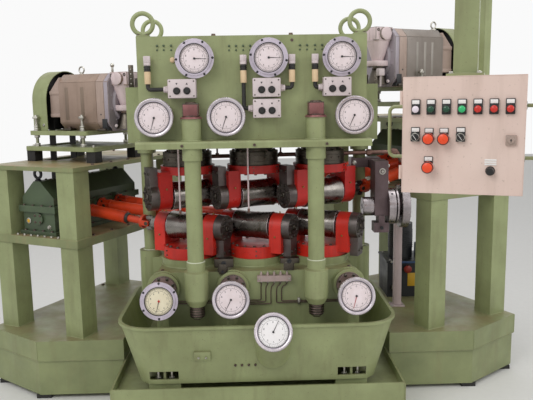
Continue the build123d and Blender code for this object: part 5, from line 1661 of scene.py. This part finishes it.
@dataclass
class OutletGuide:
    """Bright rings, holes and screws of the outlet guide, and its inlet funnel's edge."""

    # Start, end and radius of each turned ring along the pass line
    rings: tuple = ((0.579, 0.634, 0.050), (0.708, 0.745, 0.096), (0.745, 0.751, 0.060), (0.751, 0.761, 0.096),
                    (0.775, 0.815, 0.116))

    def build(self) -> None:
        """Makes the guide's small parts."""
        rings = Shape("guide_rings", shift(0, 0, PASS_Z) @ rotate(90, "Y"))
        for start, end, r in self.rings:
            rings.lathe([(r - 0.004, start - 0.0006), (r - 0.001, start - 0.0006), (r + 0.0006, start + 0.0008),
                         (r + 0.0006, end - 0.0008), (r - 0.001, end + 0.0006), (r - 0.004, end + 0.0006)],
                        sides=96, closed=True)
        rings.ring(0.058, 0.113, 0.7735, 0.7755, sides=96)
        rings.ring(0.0535, 0.112, 0.8145, 0.8160, sides=96)
        rings.ring(0.0165, 0.048, 0.5775, 0.5792, sides=64)
        rings.done(GUIDE_BRIGHT)
        screws, plug = Shape("guide_screws"), (0.676, -0.0502, 1.241)
        screws.ring(0.0110, 0.0170, 0, 0.0020, facing(*plug), 32)
        screws.bolt(plug, FRONT, 0.0085, Head.SOCKET)
        screws.bolts([(0.708, y, z) for z in (1.180, 1.268) for y in (-0.030, 0.060)], RIGHT, 0.0095)
        screws.bolts(grid((0.560, 0.690), 0.162, 1.268), FRONT, 0.0110)
        screws.bolts([(0.8158, y, PASS_Z + z) for y, z in around(0.085, 6, 30)], RIGHT, 0.0090, Head.SOCKET)
        screws.done(ZINC)
        holes = Shape("guide_holes")
        for angle in (-140, -40, 50, 130):
            s, c = math.sin(math.radians(angle)), math.cos(math.radians(angle))
            holes.drum((0.7265, 0.0966 * s, PASS_Z - 0.0966 * c), (0.7265, 0.0972 * s, PASS_Z - 0.0972 * c), 0.0062, 24)
        holes.bolt((0.673, -0.060, 0.941), FRONT, 0.0110, Head.SOCKET)
        holes.done(PACK_BLACK)


@dataclass
class PowerPack:
    """Coloured valve block, plate, knobs and pipes of the small hydraulic unit, and the post's cover."""

    knob: tuple = ((0, 0), (0.012, 0), (0.012, 0.012), (0.024, 0.014), (0.025, 0.028), (0.018, 0.034), (0, 0.036))

    def build(self) -> None:
        """Makes the unit's coloured parts."""
        blue = Shape("pack_valve_block")
        blue.brick((1.125, 0.730, 0.6215), (0.114, 0.124, 0.087), 0.003)
        for x in (1.090, 1.150):
            blue.brick((x, 0.660, 0.6100), (0.034, 0.030, 0.034), 0.002)
        blue.brick((0.968, 0.640, 0.5660), (0.170, 0.020, 0.014), 0.002)
        blue.done(PACK_BLUE)
        Shape("pack_blank_plate").brick((1.0165, 0.6390, 0.449), (0.050, 0.003, 0.088), 0.001).done(PACK_YELLOW)
        Shape("pack_red_knob").lathe(self.knob, facing(0.987, 0.640, 0.524)).done(PACK_RED)
        steel = Shape("pack_fittings")
        steel.bolts(grid((0.885, 0.930, 1.060, 1.130, 1.175), 0.632, 0.570), FRONT, 0.0070)
        steel.bolts(grid((0.880, 1.180), (0.655, 0.880), 0.576), UP, 0.0080)
        steel.drum((0.905, 0.640, 0.400), (0.905, 0.612, 0.400), 0.020, 6, 0.001)
        for x in (1.090, 1.150):
            steel.drum((x, 0.646, 0.610), (x, 0.628, 0.610), 0.0110, 6, 0.0008)
        steel.ring(0.0300, 0.0352, 0.160, 0.190, shift(1.130, 0.845, 0.576), 40)
        steel.done(ZINC)
        ribs = Shape("pack_motor_ribs")
        for z in steps(0.640, 0.014, 9):
            ribs.lathe([(0.0770, 0.0), (0.0815, 0.0015), (0.0815, 0.0045), (0.0770, 0.006)], shift(0.970, 0.770, z),
                       48, True)
        ribs.done(PACK_BLACK)
        cover = Shape("post_cover")
        cover.brick((0.884, 0.470, 0.702), (0.0475, 0.0355, 0.720), 0.002)
        cover.brick((0.884, 0.470, 0.338), (0.085, 0.075, 0.008), 0.002)
        cover.done(PALE_METAL, slot="cabinet_enamel")
        Shape("post_screws").bolts(grid((0.850, 0.918), (0.440, 0.500), 0.342), UP, 0.0060).done(ZINC)


@dataclass
class Header:
    """Unions, clips and spray ends of the coolant header behind the columns."""

    y: float = 0.158
    z: float = 1.318
    drop_y: float = -0.149
    drops: tuple = (-0.382, -0.032)

    def build(self) -> None:
        """Makes the header's small parts."""
        steel, y = Shape("header_unions"), self.y
        for x in (-0.262, 0.300, 0.640, 0.780):
            z = self.z + 0.008 * (x + 0.27) / 1.07
            steel.drum((x - 0.012, y, z), (x + 0.012, y, z), 0.0185, 6, 0.001)
            steel.drum((x + 0.012, y, z), (x + 0.020, y, z), 0.0150, 24, 0.001)
        for x in (-0.200, 0.150, 0.480):
            steel.drum((x, y, self.z), (x, y, self.z + 0.018), 0.0100, 24, 0.001)
            steel.drum((x, y, 1.390), (x, y, 1.3998), 0.0120, 6, 0.001)
        y = self.drop_y
        for x in self.drops:
            steel.drum((x, y, 1.388), (x, y, 1.3998), 0.0100, 6, 0.0008)
            steel.drum((x, y, 1.054), (x, y, 1.074), 0.0062, 20, 0.0006)
        steel.done(PIPE_BROWN)
        pale = Shape("header_sleeves")
        for x in self.drops:
            pale.drum((x, y, 1.0745), (x, y, 1.3875), 0.0044, 20)
        pale.done(PALE_METAL, slot="ground_steel")


@dataclass
class LiftScrews:
    """Screws and rings of the dark turntables under the crosshead."""

    low: float = 1.291
    high: float = 1.361

    def build(self) -> None:
        """Makes the turntables' small parts."""
        screws, rings, low, high = Shape("turntable_screws"), Shape("turntable_rings"), self.low, self.high
        for i in range(3):
            x = (i - 1) * ROLL_PITCH
            screws.bolts([(x + dx, dy, high) for dx, dy in around(0.114, 10, 18)], UP, 0.0080)
            for dx, dy in around(0.1278, 16):
                screws.bolt((x + dx, dy, low + 0.035), (dx, dy, 0), 0.0050, Head.SOCKET)
            for z in (low + 0.004, low + 0.020, low + 0.050, high - 0.003):
                rings.hoop(shift(x, 0, z), 0.1275, 0.0016, 64, 6)
            for z in (high + 0.012, 1.392):
                rings.hoop(shift(x, 0, z), 0.0995, 0.0022, 64, 6)
        screws.done(BROWN_STEEL)
        rings.done(OILY_STEEL)


@dataclass
class Cabinet:
    """Lamps, labels, buttons, selectors, lock and seals of the control cabinet and its arm."""

    lamp_x: tuple = (-0.155, -0.104, -0.053, -0.002, 0.049, 0.100, 0.151)
    lamps: tuple = (LAMP_WHITE, LAMP_DARK_GREEN, LAMP_DARK_GREEN, LAMP_GREEN, LAMP_RED, LAMP_RED, LAMP_RED)
    lamp_z: float = 0.090
    mushrooms: tuple = ((-0.109, -0.010), (-0.059, -0.010), (-0.109, -0.108))
    selectors: tuple = ((-0.155, -0.005), (-0.004, -0.005))
    lock: tuple = (0.157, -0.014)
    knob: tuple = (0.095, -0.118)
    half: float = 0.200
    mast: tuple = (-1.389, -0.259)

    def build(self) -> None:
        """Makes the door's devices and the cabinet's seals and screws."""
        self.lamp_row()
        self.buttons()
        self.labels()
        self.lock_and_knob()
        self.shell()
        self.arm()

    def front(self, x: float, z: float) -> Matrix:
        """Gives a frame on the door, Z out of it and Y up."""
        return CABINET_FRAME @ facing(x, -0.002, z)

    def lamp_row(self) -> None:
        """Makes the seven lamp frames with their blank labels and lenses."""
        frames, labels = Shape("lamp_frames"), Shape("lamp_labels")
        for x in self.lamp_x:
            frames.place = labels.place = self.front(x, self.lamp_z)
            frames.brick((0, 0.008, 0.004), (0.0300, 0.0520, 0.0080), 0.0018)
            frames.hoop(shift(0, 0, 0.0130), 0.0132, 0.0014, 36, 8)
            labels.brick((0, 0.0245, 0.0084), (0.0240, 0.0130, 0.0016), 0.0004)
        frames.done(BLACK_PLASTIC, DOOR)
        labels.done(LABEL_WHITE, DOOR)
        for i, (x, finish) in enumerate(zip(self.lamp_x, self.lamps)):
            lens = Shape(f"lamp_lens_{i}", self.front(x, self.lamp_z))
            lens.lathe([(0, 0.0138), (0.0118, 0.0138), (0.0118, 0.0170), (0.0108, 0.0196), (0.0080, 0.0214),
                        (0.0040, 0.0222), (0, 0.0224)], sides=36)
            lens.done(finish, DOOR)

    def buttons(self) -> None:
        """Makes the mushroom buttons and the collars of all buttons."""
        heads, collars = Shape("mushroom_heads"), Shape("button_collars")
        for x, z in self.mushrooms:
            heads.place = collars.place = self.front(x, z)
            heads.lathe([(0, 0.0195), (0.0170, 0.0195), (0.0203, 0.0215), (0.0207, 0.0300), (0.0190, 0.0350),
                         (0.0120, 0.0385), (0, 0.0395)], sides=48)
            collars.lathe([(0, 0), (0.0205, 0), (0.0205, 0.0020), (0.0150, 0.0040), (0.0150, 0.0100),
                           (0.0120, 0.0110), (0, 0.0110)], sides=48)
        for x, z in self.selectors:
            collars.place = self.front(x, z)
            collars.lathe([(0, 0), (0.0155, 0), (0.0155, 0.0125), (0.0135, 0.0145), (0, 0.0145)], sides=40)
        heads.done(MUSHROOM_RED, DOOR)
        collars.done(ZINC, DOOR)

    def labels(self) -> None:
        """Makes the selectors' knobs with their marks, and the blank labels of the buttons in black holders."""
        knobs, labels, marks = Shape("selector_knobs"), Shape("device_labels"), Shape("selector_marks")
        turn = rotate(35, "Z")
        for x, z in self.selectors:
            knobs.place = labels.place = marks.place = self.front(x, z)
            knobs.brick((0, 0, 0.0070), (0.0300, 0.0300, 0.0140), 0.0018)
            knobs.lathe([(0, 0.0140), (0.0125, 0.0140), (0.0115, 0.0200), (0, 0.0205)], sides=36)
            knobs.brick((0, 0, 0.0235), (0.0075, 0.0230, 0.0110), 0.0018, turn)
            marks.brick((0, 0, 0.0292), (0.0014, 0.0200, 0.0006), turn=turn)
            knobs.brick((0, 0.0245, 0.0020), (0.0300, 0.0190, 0.0040), 0.0010)
            labels.brick((0, 0.0245, 0.0044), (0.0250, 0.0130, 0.0014), 0.0004)
        marks.done(LABEL_WHITE, DOOR)
        for x, z in self.mushrooms:
            labels.place = knobs.place = self.front(x, z)
            knobs.brick((0, 0.0120, 0.0020), (0.0300, 0.0480, 0.0040), 0.0010)
            labels.brick((0, 0.0275, 0.0044), (0.0250, 0.0130, 0.0014), 0.0004)
        knobs.done(BLACK_PLASTIC, DOOR)
        labels.done(LABEL_WHITE, DOOR)

    def lock_and_knob(self) -> None:
        """Makes the lock plate with its keyhole and the black knob with three blank strips."""
        plate = Shape("lock_plate", self.front(*self.lock))
        plate.brick((0, 0, 0.0050), (0.0340, 0.0340, 0.0100), 0.0015)
        plate.lathe([(0, 0.0095), (0.0115, 0.0095), (0.0115, 0.0130), (0.0100, 0.0145), (0, 0.0145)], sides=36)
        plate.done(MOTOR_TAN, DOOR, "satin_aluminium")
        hole = Shape("lock_keyhole", self.front(*self.lock))
        hole.drum((0, 0.0010, 0.0140), (0, 0.0010, 0.0148), 0.0030, 20)
        hole.brick((0, -0.0030, 0.0144), (0.0022, 0.0070, 0.0008))
        hole.place = self.front(*self.knob)
        hole.lathe([(0, 0), (0.0160, 0), (0.0150, 0.0040), (0.0130, 0.0060), (0.0125, 0.0225), (0.0105, 0.0245),
                    (0, 0.0245)], sides=24)
        hole.brick((0.0060, 0, 0.0248), (0.0110, 0.0018, 0.0008))
        hole.done(BLACK_PLASTIC, DOOR)
        strips, (x, z) = Shape("knob_strips"), self.knob
        for dz in (0.0220, 0.0295, 0.0370):
            strips.place = self.front(x, z + dz)
            strips.brick((0, 0, 0.0007), (0.0385, 0.0060, 0.0014), 0.0004)
        strips.done(LABEL_WHITE, DOOR)

    def shell(self) -> None:
        """Seals the door's joint and screws the cabinet's back and handles."""
        seal, fold = Shape("cabinet_seal", CABINET_FRAME), Shape("door_folds", CABINET_FRAME)
        edge, rim = self.half - 0.0008, self.half - 0.0006
        for side in SIDES:
            seal.brick((side * edge, 0.0155, 0), (0.0024, 0.0014, 2 * edge))
            seal.brick((0, 0.0155, side * edge), (2 * edge, 0.0014, 0.0024))
            fold.brick((side * rim, -0.0014, 0), (0.0030, 0.0030, 2 * self.half), 0.0010)
            fold.brick((0, -0.0014, side * rim), (2 * self.half, 0.0030, 0.0030), 0.0010)
        seal.done(RUBBER)
        fold.done(CABINET_BEIGE, DOOR)
        screws = Shape("cabinet_screws", CABINET_FRAME)
        screws.bolts(grid((-0.15, 0.15), 0.200, (-0.15, 0.15)), BACK, 0.0080)
        for side in SIDES:
            for z in (0.098, -0.082):
                screws.lathe([(0.0066, 0), (0.0160, 0), (0.0160, 0.0035), (0.0125, 0.0055), (0.0066, 0.0055)],
                             shift(side * self.half, 0.100, z) @ rotate(side * 90, "Y"), 32, True)
        screws.bolts(grid((-0.046, 0.046), (0.054, 0.146), self.half + 0.010), UP, 0.0085)
        screws.done(ZINC)

    def arm(self) -> None:
        """Welds the drop tube and the mast and bolts the mast's foot."""
        beads = Shape("arm_welds", CABINET_FRAME)
        a, y = 0.0405, 0.100
        beads.weld_round((-a, a), (y - a, y + a), self.half + 0.011, 0.0036)
        beads.place = stand_frame(True, 0)
        a, (u, v) = 0.0255, self.mast
        beads.weld_round((u - a, u + a), (v - a, v + a), 1.514, 0.0036)
        beads.done(SAGE)
        bolts = Shape("mast_bolts", stand_frame(True, 0))
        bolts.bolts(grid((u - 0.050, u + 0.050), (v - 0.034, v + 0.034), 1.513), UP, 0.0085).done(BROWN_STEEL)


def main() -> None:
    """Builds the groups in order and logs each one."""
    logging.basicConfig(level=logging.INFO, format="%(message)s", force=True)
    groups = [Studio(), Paint(), Dials(), ButtonBoxes(), Conduits(), Crosshead(), Columns(), Rolls(), CardanShafts(),
              Bed(), Trays(), Plinths(), Gearboxes(), Motors(), OutletGuide(), PowerPack(), Header(), LiftScrews(),
              Cabinet()]
    for group in groups:
        group.build()
        LOG.info("made %s", type(group).__name__)


if __name__ == "__main__":
    bpy.context.scene.view_settings.view_transform = "Standard"
    main()
